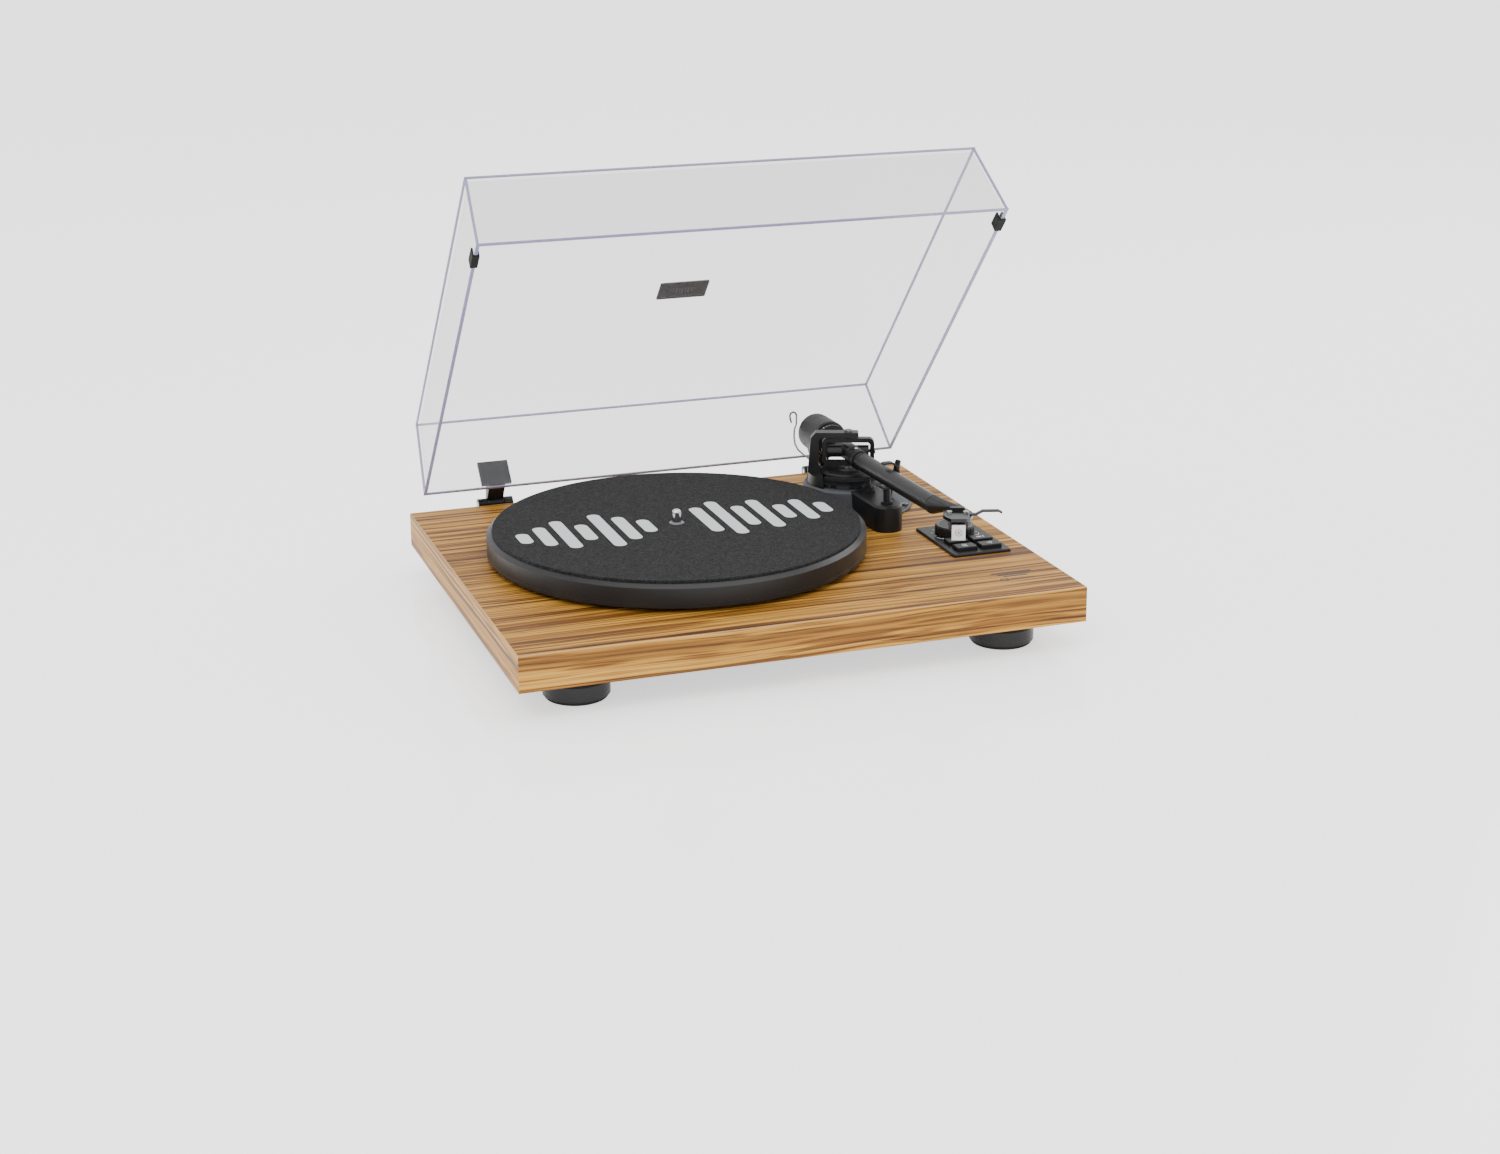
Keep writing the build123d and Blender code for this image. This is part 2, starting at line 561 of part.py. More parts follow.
with BuildPart() as finger_lift:
    with BuildSketch(Plane(origin=shell_origin + ahead * 5.5, x_dir=across, z_dir=ahead)):
        with BuildLine():
            Polyline(
                (9, SHELL_Z + 2.6), (14, SHELL_Z + 2.6), (19, SHELL_Z + 5.4), (31, SHELL_Z + 5.6),
                (34, SHELL_Z + 4.0), (34, SHELL_Z + 5.6), (31, SHELL_Z + 7.2),
                (18.6, SHELL_Z + 7.0), (13.6, SHELL_Z + 4.2), (9, SHELL_Z + 4.2), (9, SHELL_Z + 2.6),
            )
        make_face()
    extrude(amount=1.7, both=True)
finger_lift.part.label = "finger_lift"
export_step(finger_lift.part, "parts/finger_lift.step")

CARTRIDGE_H = 8.2
with BuildPart() as cartridge_body:
    with Locations(shell_flat.offset(SHELL_Z)):
        with Locations((1.5, 0)):
            Box(19, 15, CARTRIDGE_H, align=HANG)
    chamfer(cartridge_body.edges().group_by(Axis.Z)[0], 1.5)
    # four pins at the rear
    with Locations(shell_flat.offset(SHELL_Z - 3.4)):
        with GridLocations(0, 8, 1, 2):
            with Locations(Location((-8, 0, 1.1), (0, -90, 0)), Location((-8, 0, -1.1), (0, -90, 0))):
                Cylinder(0.6, 4.6, align=BOTTOM)
    with Locations(shell_flat.offset(SHELL_Z)):
        with Locations((0, 6.35), (0, -6.35)):
            Cylinder(1.3, 13, mode=Mode.SUBTRACT)
cartridge_body.part.label = "cartridge_body"
export_step(cartridge_body.part, "parts/cartridge_body.step")

STYLUS_Z = TOP + 27.9
with BuildPart() as stylus_assembly:
    with Locations(shell_flat.offset(SHELL_Z - CARTRIDGE_H)):
        with Locations((8.8, 0)):
            Box(15, 8.6, 4.6, align=HANG)
    # front guard plate
    with Locations(shell_flat.offset(SHELL_Z - 14)):
        with Locations((17, 0)):
            Box(1.4, 10.5, 12, align=BOTTOM)
    # channel over the cantilever
    with Locations(shell_flat.offset(SHELL_Z - CARTRIDGE_H - 4.6)):
        with Locations((10.5, 0)):
            Box(9, 2.6, 3.4, mode=Mode.SUBTRACT)
    with Locations(Plane(origin=shell_origin + ahead * 10.2 + Vector(0, 0, STYLUS_Z + 0.5),
                         x_dir=across, z_dir=ahead * -0.966 + Vector(0, 0, 0.259))):
        Cylinder(0.35, 8, align=BOTTOM)
    with Locations(Plane(origin=shell_origin + ahead * 9.9 + Vector(0, 0, STYLUS_Z))):
        Cone(0.12, 0.35, 0.9, align=BOTTOM)
stylus_assembly.part.label = "stylus_assembly"
export_step(stylus_assembly.part, "parts/stylus_assembly.step")

with BuildPart() as cartridge_leads:
    for side in (-4, 4):
        for level in (-1.1, 1.1):
            start = shell_origin + ahead * -12.8 + across * side + Vector(0, 0, SHELL_Z - 3.4 + level)
            end = shell_origin + ahead * -17.5 + across * (side * 0.45) + Vector(0, 0, ARM_Z - 6.0 + level * 0.4)
            with BuildLine():
                Spline(start, end, tangents=(ahead * -1, Vector(0, 0, 1) - ahead * 0.6))
            with BuildSketch(Plane(origin=start, z_dir=ahead * -1)):
                Circle(0.45)
            sweep()
cartridge_leads.part.label = "cartridge_leads"
export_step(cartridge_leads.part, "parts/cartridge_leads.step")

with BuildPart() as force_dial:
    with BuildSketch(arm_section(-34)):
        Circle(WEIGHT_R - 2)
        Circle(4.5, mode=Mode.SUBTRACT)
    extrude(amount=-5)
force_dial.part.label = "force_dial"
export_step(force_dial.part, "parts/force_dial.step")

with BuildPart() as counterweight:
    with BuildSketch(arm_section(-39.4)):
        Circle(WEIGHT_R)
        Circle(4.5, mode=Mode.SUBTRACT)
    extrude(amount=-32)
    chamfer(counterweight.edges().filter_by(GeomType.CIRCLE).group_by(SortBy.RADIUS)[-1], 1.2)
counterweight.part.label = "counterweight"
export_step(counterweight.part, "parts/counterweight.step")

WIRE_R = 0.8
wire_foot = Vector(PIVOT_X - 19, PIVOT_Y + 28, CONE_TOP)
wire_top = Vector(PIVOT_X - 18.5, PIVOT_Y + 75.5, TOP + 61)
with BuildLine() as wire_leg:
    Spline(
        wire_foot, wire_foot + Vector(-1, 2, 8), wire_top + Vector(-8.5, -20, -21),
        wire_top + Vector(-3.5, -6, -9), wire_top,
        tangents=(Vector(0, 0, 1), Vector(0.1, 0.3, 1)),
    )
wire_bends = [wire_foot + Vector(0, 0, 0.4)]
wire_bends += [wire_leg.line @ (step / 9) for step in range(1, 10)]
wire_bends += [wire_top + Vector(-0.9, 0.1, 2.2), wire_top + Vector(-3, 0.3, 3.1)]
wire_bends += [wire_top + Vector(-5.1, 0.5, 2.2), wire_top + Vector(-6, 0.6, 0)]
wire_bends += [wire_top + Vector(-5.6, 0.6, -3), wire_top + Vector(-4.6, 0.5, -6)]
# The wire is a run of short straight lengths with a bead at each bend; it ends in an open eyelet.
with BuildPart() as anti_skate_wire:
    for start, end in zip(wire_bends, wire_bends[1:]):
        with BuildSketch(Plane(origin=start, z_dir=end - start)):
            Circle(WIRE_R)
        extrude(amount=(end - start).length)
        with Locations(end):
            Sphere(WIRE_R + 0.04)
    with Locations(wire_foot):
        Cylinder(1.8, 3, align=BOTTOM)
anti_skate_wire.part.label = "anti_skate_wire"
export_step(anti_skate_wire.part, "parts/anti_skate_wire.step")

# ---------------------------------------------------------------- cue lift and armrest
BLOCK_TOP = TOP + BLOCK_H
LIFT_TOP = ARM_Z - TUBE_DROP - TUBE_R - 0.2 - CUE_TRAVEL
LEVER_A = 49.5
LEVER_Z = TOP + 13.0
with BuildPart() as cue_block:
    with BuildSketch(arm_flat.offset(TOP)):
        with Locations(((BLOCK_BACK + REST_A) / 2, 0)):
            Rectangle(REST_A - BLOCK_BACK, BLOCK_W)
        with Locations((REST_A, 0)):
            Circle(BLOCK_W / 2)
    extrude(amount=BLOCK_H)
    chamfer(cue_block.edges().group_by(Axis.Z)[-1], 1.8)
    # guide of the lift pin
    with Locations(arm_flat.offset(BLOCK_TOP)):
        with Locations((CUE_A, 0)):
            Cylinder(6, 5, align=BOTTOM)
    with Locations(arm_flat.offset(BLOCK_TOP + 5)):
        with Locations((CUE_A, 0)):
            Cylinder(2.05, 22, align=HANG, mode=Mode.SUBTRACT)
    with Locations(Location((PIVOT_X, PIVOT_Y, TOP))):
        Cylinder(BASE_R + 0.2, 2 * DISC_T, mode=Mode.SUBTRACT)
    with Locations(Plane(origin=on_arm(LEVER_A, 0, LEVER_Z), x_dir=along, z_dir=right)):
        with Locations((0, 0, 5)):
            Cylinder(2.55, 20, align=BOTTOM, mode=Mode.SUBTRACT)
    with Locations(arm_flat.offset(BLOCK_TOP)):
        with Locations((REST_A, 0)):
            Cylinder(2.0, 12, mode=Mode.SUBTRACT)
cue_block.part.label = "cue_block"
export_step(cue_block.part, "parts/cue_block.step")

with BuildPart() as cue_piston:
    with Locations(arm_flat.offset(LIFT_TOP)):
        with Locations((CUE_A, 0)):
            Cylinder(2.0, 28, align=HANG)
    # curved bar that carries the tube across its whole swing
    with BuildSketch(arm_flat.offset(LIFT_TOP - 2.6)):
        with BuildLine():
            CenterArc((0, 0), CUE_A + 1.6, -52, 62)
            CenterArc((0, 0), CUE_A - 1.6, -52, 62)
            Line(PolarLine((0, 0), CUE_A - 1.6, -52) @ 1, PolarLine((0, 0), CUE_A + 1.6, -52) @ 1)
            Line(PolarLine((0, 0), CUE_A - 1.6, 10) @ 1, PolarLine((0, 0), CUE_A + 1.6, 10) @ 1)
        make_face()
    extrude(amount=2.6)
cue_piston.part.label = "cue_piston"
export_step(cue_piston.part, "parts/cue_piston.step")

with BuildPart() as cue_lever:
    with Locations(Plane(origin=on_arm(LEVER_A, 0, LEVER_Z), x_dir=along, z_dir=right)):
        with Locations((0, 0, 5.5)):
            Cylinder(2.5, BLOCK_W / 2 - 5.5 + 3.6, align=BOTTOM)
        with Locations((0, 0, BLOCK_W / 2 + 0.4)):
            Cylinder(4.2, 3.4, align=BOTTOM)
    lever_foot = on_arm(LEVER_A, BLOCK_W / 2 + 2.1, LEVER_Z)
    lever_line = Vector(0, 0, cos(radians(14))) + right * sin(radians(14))
    with Locations(Plane(origin=lever_foot, x_dir=along, z_dir=lever_line)):
        Cylinder(1.4, 24, align=BOTTOM)
    with Locations(Plane(origin=lever_foot + lever_line * 20, x_dir=along, z_dir=lever_line)):
        Cylinder(2.5, 16, align=BOTTOM)
cue_lever.part.label = "cue_lever"
export_step(cue_lever.part, "parts/cue_lever.step")

HOOK_W = 8.4
HOOK_HIGH = 10.8
HOOK_LOW = 8.8
REST_Z = ARM_Z - TUBE_DROP
with BuildPart() as armrest_post:
    with Locations(arm_flat.offset(BLOCK_TOP)):
        with Locations((REST_A, 0)):
            Cylinder(1.95, 6, align=HANG)
            Cylinder(5, 1.8, align=BOTTOM)
            Cylinder(3, REST_Z - HOOK_LOW - 1.2 - BLOCK_TOP, align=BOTTOM)
    with BuildSketch(arm_section(REST_A - 3, REST_Z)):
        with Locations((0, (HOOK_HIGH - HOOK_LOW) / 2)):
            RectangleRounded(2 * HOOK_W + 3, HOOK_HIGH + HOOK_LOW + 3, 8)
            RectangleRounded(2 * HOOK_W, HOOK_HIGH + HOOK_LOW, 7, mode=Mode.SUBTRACT)
        with Locations((-8.2, 2.4)):
            Rectangle(8, 21.2, mode=Mode.SUBTRACT)
    extrude(amount=6)
armrest_post.part.label = "armrest_post"
export_step(armrest_post.part, "parts/armrest_post.step")

# ---------------------------------------------------------------- controls
PANEL_TOP = TOP + PANEL_T
BOARD_T = 1.6
BOARD_Z = CEILING + 1.0
with BuildPart() as control_panel:
    with BuildSketch(Plane.XY.offset(TOP)):
        with Locations((PANEL_X, PANEL_Y)):
            RectangleRounded(PANEL_W, PANEL_D, 2.5)
    extrude(amount=PANEL_T)
    chamfer(control_panel.edges().group_by(Axis.Z)[-1], 0.8)
    with Locations(*[(x, y, TOP) for x, y in PANEL_POSTS]):
        Cylinder(1.5, TOP - BOARD_Z - BOARD_T, align=HANG)
    with Locations(*[(x, y, TOP) for x, y in BUTTONS.values()]):
        Box(BUTTON_W + 0.7, BUTTON_D + 0.7, 3 * PANEL_T, mode=Mode.SUBTRACT)
    with Locations((KNOB_X, KNOB_Y, TOP)):
        Cylinder(4.7, 3 * PANEL_T, mode=Mode.SUBTRACT)
control_panel.part.label = "control_panel"
export_step(control_panel.part, "parts/control_panel.step")

with BuildPart() as control_board:
    with Locations((PANEL_X, PANEL_Y, BOARD_Z)):
        Box(PANEL_W - 8, PANEL_D - 8, BOARD_T, align=BOTTOM)
    # push switches
    with Locations(*[(x, y, BOARD_Z + BOARD_T) for x, y in BUTTONS.values()]):
        Box(6, 6, 1.8, align=BOTTOM)
        Cylinder(1.6, 2.2, align=BOTTOM)
    # level control
    with Locations((KNOB_X, KNOB_Y, BOARD_Z + BOARD_T)):
        Box(12, 12, 4.2, align=BOTTOM)
        Cylinder(4.5, PANEL_TOP - BOARD_Z - BOARD_T - 0.2, align=BOTTOM)
    with Locations((KNOB_X, KNOB_Y, BOARD_Z)):
        Cylinder(3.06, 20, align=BOTTOM, mode=Mode.SUBTRACT)
control_board.part.label = "control_board"
export_step(control_board.part, "parts/control_board.step")

with BuildPart() as volume_knob:
    with Locations((KNOB_X, KNOB_Y, PANEL_TOP + 0.5)):
        Cylinder(KNOB_R, KNOB_H, align=BOTTOM)
    chamfer(volume_knob.edges().group_by(Axis.Z)[-1], 1.0)
    with Locations((KNOB_X, KNOB_Y, PANEL_TOP + 0.5)):
        Cylinder(3.0, PANEL_TOP - BOARD_Z, align=HANG)
    # finger flutes
    with Locations((KNOB_X, KNOB_Y, PANEL_TOP + 2)):
        with PolarLocations(KNOB_R + 0.5, 24):
            Cylinder(1.0, KNOB_H, align=BOTTOM, mode=Mode.SUBTRACT)
    with Locations((KNOB_X, KNOB_Y - KNOB_R + 5, PANEL_TOP + KNOB_H + 0.5)):
        Box(1.2, 6, 1.0, mode=Mode.SUBTRACT)
volume_knob.part.label = "volume_knob"
export_step(volume_knob.part, "parts/volume_knob.step")

BUTTON_LOW = BOARD_Z + BOARD_T + 2.2 + BUTTON_TRAVEL + 0.1
for button_name, (button_x, button_y) in BUTTONS.items():
    with BuildPart() as button:
        with Locations((button_x, button_y, BUTTON_LOW)):
            Box(BUTTON_W, BUTTON_D, PANEL_TOP + BUTTON_RISE - BUTTON_LOW, align=BOTTOM)
        fillet(button.edges().group_by(Axis.Z)[-1], 0.8)
        with Locations((button_x, button_y, BUTTON_LOW)):
            Box(BUTTON_W + 2.4, BUTTON_D + 2.4, 1.2, align=BOTTOM)
    button.part.label = button_name
    export_step(button.part, f"parts/{button_name}.step")

# ---------------------------------------------------------------- main board and sockets
MAIN_Z = FOOT_H + PAN_T + 3
with BuildPart() as main_board:
    with Locations((70, YC + 130, MAIN_Z)):
        Box(112, 72, BOARD_T, align=BOTTOM)
    with Locations(*[(x, y, MAIN_Z) for x, y in BOARD_POSTS]):
        Cylinder(1.6, 4, mode=Mode.SUBTRACT)
    with Locations((70, YC + 130, MAIN_Z + BOARD_T)):
        with Locations((-36, 16), (-24, 16), (-36, 2)):
            Cylinder(5, 10, align=BOTTOM)
        with Locations((30, 18), (14, 18)):
            Box(12, 12, 8, align=BOTTOM)
        with Locations((-6, -14)):
            Box(16, 16, 2, align=BOTTOM)
        with Locations((30, -16)):
            Box(30, 12, 9, align=BOTTOM)
            with GridLocations(4, 0, 7, 1):
                Box(1.6, 14, 11, align=BOTTOM, mode=Mode.SUBTRACT)
        with Locations((30, -16)):
            Box(30, 12, 2, align=BOTTOM)
        with Locations((-34, -22), (-20, -26)):
            Box(10, 6, 5, align=BOTTOM)
main_board.part.label = "main_board"
export_step(main_board.part, "parts/main_board.step")

RCA_X = (22, 38, 54, 70)
DC_X = 92.0
SWITCH_X = 113.0
with BuildPart() as rear_panel:
    with BuildSketch(Plane(origin=(PORT_X, REAR, JACK_Z), x_dir=(-1, 0, 0), z_dir=(0, 1, 0))):
        RectangleRounded(124, 22, 2)
    extrude(amount=2)
    # collar round the power socket, shell behind the rocker
    with Locations(Plane(origin=(DC_X, REAR, JACK_Z), x_dir=(-1, 0, 0), z_dir=(0, 1, 0))):
        Cylinder(6.5, 3.2, align=BOTTOM)
    with Locations((SWITCH_X, REAR - 5, JACK_Z)):
        Box(14, 10, 11.6)
    with Locations((SWITCH_X, REAR - 1, JACK_Z)):
        Box(9.2, 12, 9.6, mode=Mode.SUBTRACT)
    with Locations(Plane(origin=(DC_X, REAR - 4, JACK_Z), x_dir=(-1, 0, 0), z_dir=(0, 1, 0))):
        Cylinder(4.6, 30, mode=Mode.SUBTRACT)
    with Locations(*[Plane(origin=(x, REAR - 4, JACK_Z), x_dir=(-1, 0, 0), z_dir=(0, 1, 0)) for x in RCA_X]):
        Cylinder(4.2, 30, mode=Mode.SUBTRACT)
    with Locations(*[Plane(origin=(PORT_X + sx * 58, REAR, JACK_Z), x_dir=(-1, 0, 0), z_dir=(0, 1, 0))
                     for sx in (-1, 1)]):
        Cylinder(1.6, 12, mode=Mode.SUBTRACT)
rear_panel.part.label = "rear_panel"
export_step(rear_panel.part, "parts/rear_panel.step")

with BuildPart() as rca_jacks:
    with Locations(*[Plane(origin=(x, REAR + 2, JACK_Z), x_dir=(-1, 0, 0), z_dir=(0, 1, 0)) for x in RCA_X]):
        Cylinder(4.15, 14, align=HANG)
        Cylinder(5.4, 1.2, align=BOTTOM)
        Cylinder(4.15, 9, align=BOTTOM)
    with Locations(*[Plane(origin=(x, REAR + 11, JACK_Z), x_dir=(-1, 0, 0), z_dir=(0, 1, 0)) for x in RCA_X]):
        Cylinder(1.7, 14, align=HANG, mode=Mode.SUBTRACT)
rca_jacks.part.label = "rca_jacks"
export_step(rca_jacks.part, "parts/rca_jacks.step")

with BuildPart() as dc_jack:
    with Locations(Plane(origin=(DC_X, REAR + 2.6, JACK_Z), x_dir=(-1, 0, 0), z_dir=(0, 1, 0))):
        Cylinder(4.5, 15, align=HANG)
        Cylinder(2.8, 10, align=HANG, mode=Mode.SUBTRACT)
        Cylinder(1.0, 11, align=HANG)
dc_jack.part.label = "dc_jack"
export_step(dc_jack.part, "parts/dc_jack.step")

with BuildPart() as power_rocker:
    with Locations(Location((SWITCH_X, REAR, JACK_Z), (8, 0, 0))):
        Box(8.2, 5.4, 8.2)
        Cylinder(0.9, 9.0, rotation=(0, 90, 0))
    chamfer(power_rocker.edges().filter_by(Axis.X).group_by(Axis.Y)[-1], 0.5)
power_rocker.part.label = "power_rocker"
export_step(power_rocker.part, "parts/power_rocker.step")

# ---------------------------------------------------------------- cover and hinges
def cover_spot(x, y, z):
    """A point given in the cover's own closed frame, carried to the opened pose."""
    return cover_plane.from_local_coords(Vector(x, y, z))


def cover_slice(x, y):
    """Plane across the cover at x, with the cover's depth along x and its height along y."""
    return Plane(origin=cover_spot(x, y, 0), x_dir=cover_plane.y_dir, z_dir=(1, 0, 0))


def rear_wall(z, inset=0.0):
    """Outer face of the cover's rear wall at height z in the cover's frame."""
    return -RIM_AHEAD - DRAFT_REAR * (z - RIM_UP) / COVER_H - inset


def cover_rectangle(rise, inset):
    """Plan outline of the cover at a height above its rim: width, depth and centre."""
    part_up = rise / COVER_H
    front = -RIM_AHEAD - COVER_D + DRAFT_FRONT * part_up + inset
    rear = -RIM_AHEAD - DRAFT_REAR * part_up - inset
    width = COVER_W - 2 * DRAFT_SIDE * part_up - 2 * inset
    return width, rear - front, (front + rear) / 2


with BuildPart() as dust_cover:
    for rise in (0, COVER_H):
        outline_w, outline_d, outline_y = cover_rectangle(rise, 0)
        with BuildSketch(cover_plane.offset(RIM_UP + rise)):
            with Locations((0, outline_y)):
                Rectangle(outline_w, outline_d)
    loft()
    fillet(dust_cover.edges().filter_by(lambda e: abs(e.tangent_at(0.5).dot(cover_plane.z_dir)) > 0.9), 2.0)
    for rise in (0, COVER_H - COVER_WALL):
        outline_w, outline_d, outline_y = cover_rectangle(rise, COVER_WALL)
        with BuildSketch(cover_plane.offset(RIM_UP + rise)):
            with Locations((0, outline_y)):
                Rectangle(outline_w, outline_d)
    loft(mode=Mode.SUBTRACT)
dust_cover.part.label = "dust_cover"
export_step(dust_cover.part, "parts/dust_cover.step")

BADGE_X = -2.5
BADGE_Y = -193.5
with BuildPart() as cover_badge:
    with BuildSketch(cover_plane.offset(COVER_H + RIM_UP)):
        with Locations((BADGE_X, BADGE_Y)):
            RectangleRounded(42, 22, 1.2)
    extrude(amount=0.8)
cover_badge.part.label = "cover_badge"
export_step(cover_badge.part, "parts/cover_badge.step")

BUMPER_LEN = 14.0
BUMPER_BACK = 20.0
side_slope = DRAFT_SIDE / COVER_H
with BuildPart() as cover_bumpers:
    for side in (-1, 1):
        bumper_y = -RIM_AHEAD - COVER_D + BUMPER_BACK
        half = COVER_W / 2
        bumper_plane = Plane(
            origin=cover_spot(0, bumper_y, 0), x_dir=(side, 0, 0), z_dir=cover_plane.y_dir * -side
        )
        with BuildSketch(bumper_plane):
            with BuildLine():
                Polyline(
                    (half + 1.4, RIM_UP - 1.3), (half + 1.0, RIM_UP + 7), (half - side_slope * 7, RIM_UP + 7),
                    (half, RIM_UP), (half - COVER_WALL, RIM_UP),
                    (half - COVER_WALL - side_slope * 7, RIM_UP + 7),
                    (half - COVER_WALL - 1.6, RIM_UP + 7), (half - COVER_WALL - 1.2, RIM_UP - 1.3),
                    (half + 1.4, RIM_UP - 1.3),
                )
            make_face()
        extrude(amount=BUMPER_LEN / 2, both=True)
cover_bumpers.part.label = "cover_bumpers"
export_step(cover_bumpers.part, "parts/cover_bumpers.step")

KNUCKLE_R = 4.6
PIN_R = 2.0
for hand, side in (("left", -1), ("right", 1)):
    hinge_x = side * HINGE_X
    hinge_axis = Plane(origin=(hinge_x, REAR + HINGE_BACK, TOP - HINGE_DROP), x_dir=(0, 1, 0), z_dir=(1, 0, 0))
    with BuildPart() as hinge_base:
        with Locations((hinge_x, REAR, FOOT_H + 3)):
            Box(30, 4, PLINTH_H - 5, align=(Align.CENTER, Align.MIN, Align.MIN))
        with BuildSketch(hinge_axis):
            with BuildLine():
                Polyline(
                    (-HINGE_BACK, -9), (-HINGE_BACK, 1), (0, KNUCKLE_R), (KNUCKLE_R, 0), (-HINGE_BACK + 4, -9),
                    (-HINGE_BACK, -9),
                )
            make_face()
            Circle(KNUCKLE_R)
        extrude(amount=15, both=True)
        with Locations((hinge_x, REAR + HINGE_BACK, TOP - HINGE_DROP)):
            Box(15, 14.2, 16, mode=Mode.SUBTRACT)
        with Locations(hinge_axis):
            Cylinder(PIN_R, 40, mode=Mode.SUBTRACT)
        with Locations(*[Location((hinge_x + dx, REAR, FOOT_H + 8), (90, 0, 0)) for dx in (-9, 9)]):
            Cylinder(1.6, 20, mode=Mode.SUBTRACT)
    hinge_base.part.label = f"hinge_base_{hand}"
    export_step(hinge_base.part, f"parts/hinge_base_{hand}.step")

    with BuildPart() as hinge_arm:
        with BuildSketch(cover_slice(hinge_x, 0)):
            with BuildLine():
                Polyline(
                    (rear_wall(25), 25), (rear_wall(25) + 3.4, 25), (-10, 12), (1.8, 4.0),
                    (-4.2, 1.6), (rear_wall(4.6), 4.6), (rear_wall(25), 25),
                )
            make_face()
            Circle(KNUCKLE_R - 0.2)
        extrude(amount=7, both=True)
        with BuildSketch(cover_slice(hinge_x, 0)):
            with BuildLine():
                Polyline(
                    (rear_wall(28), 28), (rear_wall(28) + 2.4, 28), (rear_wall(6) + 2.4, 6),
                    (rear_wall(6), 6), (rear_wall(28), 28),
                )
            make_face()
        extrude(amount=13, both=True)
        with Locations(hinge_axis):
            Cylinder(PIN_R + 0.06, 40, mode=Mode.SUBTRACT)
    hinge_arm.part.label = f"hinge_arm_{hand}"
    export_step(hinge_arm.part, f"parts/hinge_arm_{hand}.step")

with BuildPart() as hinge_pins:
    with Locations(*[Location((side * HINGE_X, REAR + HINGE_BACK, TOP - HINGE_DROP), (0, 90, 0))
                     for side in (-1, 1)]):
        Cylinder(PIN_R, 30)
hinge_pins.part.label = "hinge_pins"
export_step(hinge_pins.part, "parts/hinge_pins.step")

with BuildPart() as deck_screws:
    for screw_x, screw_y in BEARING_SCREWS:
        upright_screw(screw_x, screw_y, TOP + 3, 2.7, 1.7, 1.45, 9)
    for screw_x, screw_y in BASE_SCREWS:
        upright_screw(screw_x, screw_y, TOP + DISC_T, 2.7, 1.7, 1.45, 8)
    for screw_x, screw_y in MOTOR_SCREWS:
        upright_screw(screw_x, screw_y, TOP + 1.2, 2.7, 1.7, 1.45, 7)
    # hinge screws and socket panel screws, driven from behind
    rear_spots = [(sx * HINGE_X + dx, REAR + 4, FOOT_H + 8) for sx in (-1, 1) for dx in (-9, 9)]
    rear_spots += [(PORT_X + sx * 58, REAR + 2, JACK_Z) for sx in (-1, 1)]
    for spot in rear_spots:
        with Locations(Plane(origin=spot, x_dir=(-1, 0, 0), z_dir=(0, 1, 0))):
            Cylinder(2.7, 1.5, align=BOTTOM)
            Cylinder(1.45, 9, align=HANG)
deck_screws.part.label = "deck_screws"
export_step(deck_screws.part, "parts/deck_screws.step")
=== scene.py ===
import bpy
import json
from math import sin, cos, pi, radians
from mathutils import Vector, Matrix


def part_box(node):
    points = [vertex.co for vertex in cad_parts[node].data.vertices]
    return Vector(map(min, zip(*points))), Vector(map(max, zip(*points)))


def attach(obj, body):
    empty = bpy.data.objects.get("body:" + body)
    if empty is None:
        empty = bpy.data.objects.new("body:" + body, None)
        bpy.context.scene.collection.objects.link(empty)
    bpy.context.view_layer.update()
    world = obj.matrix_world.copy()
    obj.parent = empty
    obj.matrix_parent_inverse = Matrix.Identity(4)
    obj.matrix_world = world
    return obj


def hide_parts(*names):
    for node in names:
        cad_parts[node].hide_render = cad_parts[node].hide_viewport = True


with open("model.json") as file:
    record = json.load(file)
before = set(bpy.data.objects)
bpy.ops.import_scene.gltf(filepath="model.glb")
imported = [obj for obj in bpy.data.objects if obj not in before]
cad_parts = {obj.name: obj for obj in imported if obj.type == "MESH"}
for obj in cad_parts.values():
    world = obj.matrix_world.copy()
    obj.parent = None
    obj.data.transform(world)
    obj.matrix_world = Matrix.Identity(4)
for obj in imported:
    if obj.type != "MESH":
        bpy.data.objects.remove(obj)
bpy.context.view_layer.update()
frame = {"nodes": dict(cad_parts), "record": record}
NODES = frame["nodes"]

# ------------------------------------------------------------------ measures from the frame
MM = 0.001


def lo(node):
    return Vector(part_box(node)[0])


def hi(node):
    return Vector(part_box(node)[1])


def mid(node):
    return (lo(node) + hi(node)) / 2


JOINTS = {j["name"]: j for j in frame["record"]["behaviour"]["joints"]}
MOUNTS = {m["name"]: m for m in frame["record"]["mounts"]}
TOP = hi("plinth").z
CENTRE = mid("plinth")
SPINDLE = Vector(MOUNTS["spindle"]["pos_m"])
MAT_TOP = hi("slip_mat").z
PIVOT = Vector(JOINTS["tonearm_pitch"]["pos_m"])
ALONG = Vector(JOINTS["counterweight_turn"]["axis"])
RIGHT = Vector((-ALONG.y, ALONG.x, 0))
ACROSS = -Vector(JOINTS["tonearm_pitch"]["axis"])
AHEAD = Vector((ACROSS.y, -ACROSS.x, 0))
HINGE = Vector(JOINTS["cover_hinge"]["pos_m"])
OPEN = -radians(JOINTS["cover_hinge"]["range_deg"][0])
COVER_Y = Vector((0, cos(OPEN), -sin(OPEN)))
COVER_Z = Vector((0, sin(OPEN), cos(OPEN)))
KNOB = Vector(JOINTS["volume_turn"]["pos_m"])
PANEL_TOP = hi("control_panel").z
X = Vector((1, 0, 0))
Y = Vector((0, 1, 0))
UP = Vector((0, 0, 1))
# prints and labels start a hair below the surface they lie on
SINK = 0.00001
INK_THICK = 0.05


def on_arm(a, r=0.0, z=0.0):
    """Point a along the tube, r to its right and z above its axis, all in mm."""
    return PIVOT + ALONG * a * MM + RIGHT * r * MM + UP * z * MM


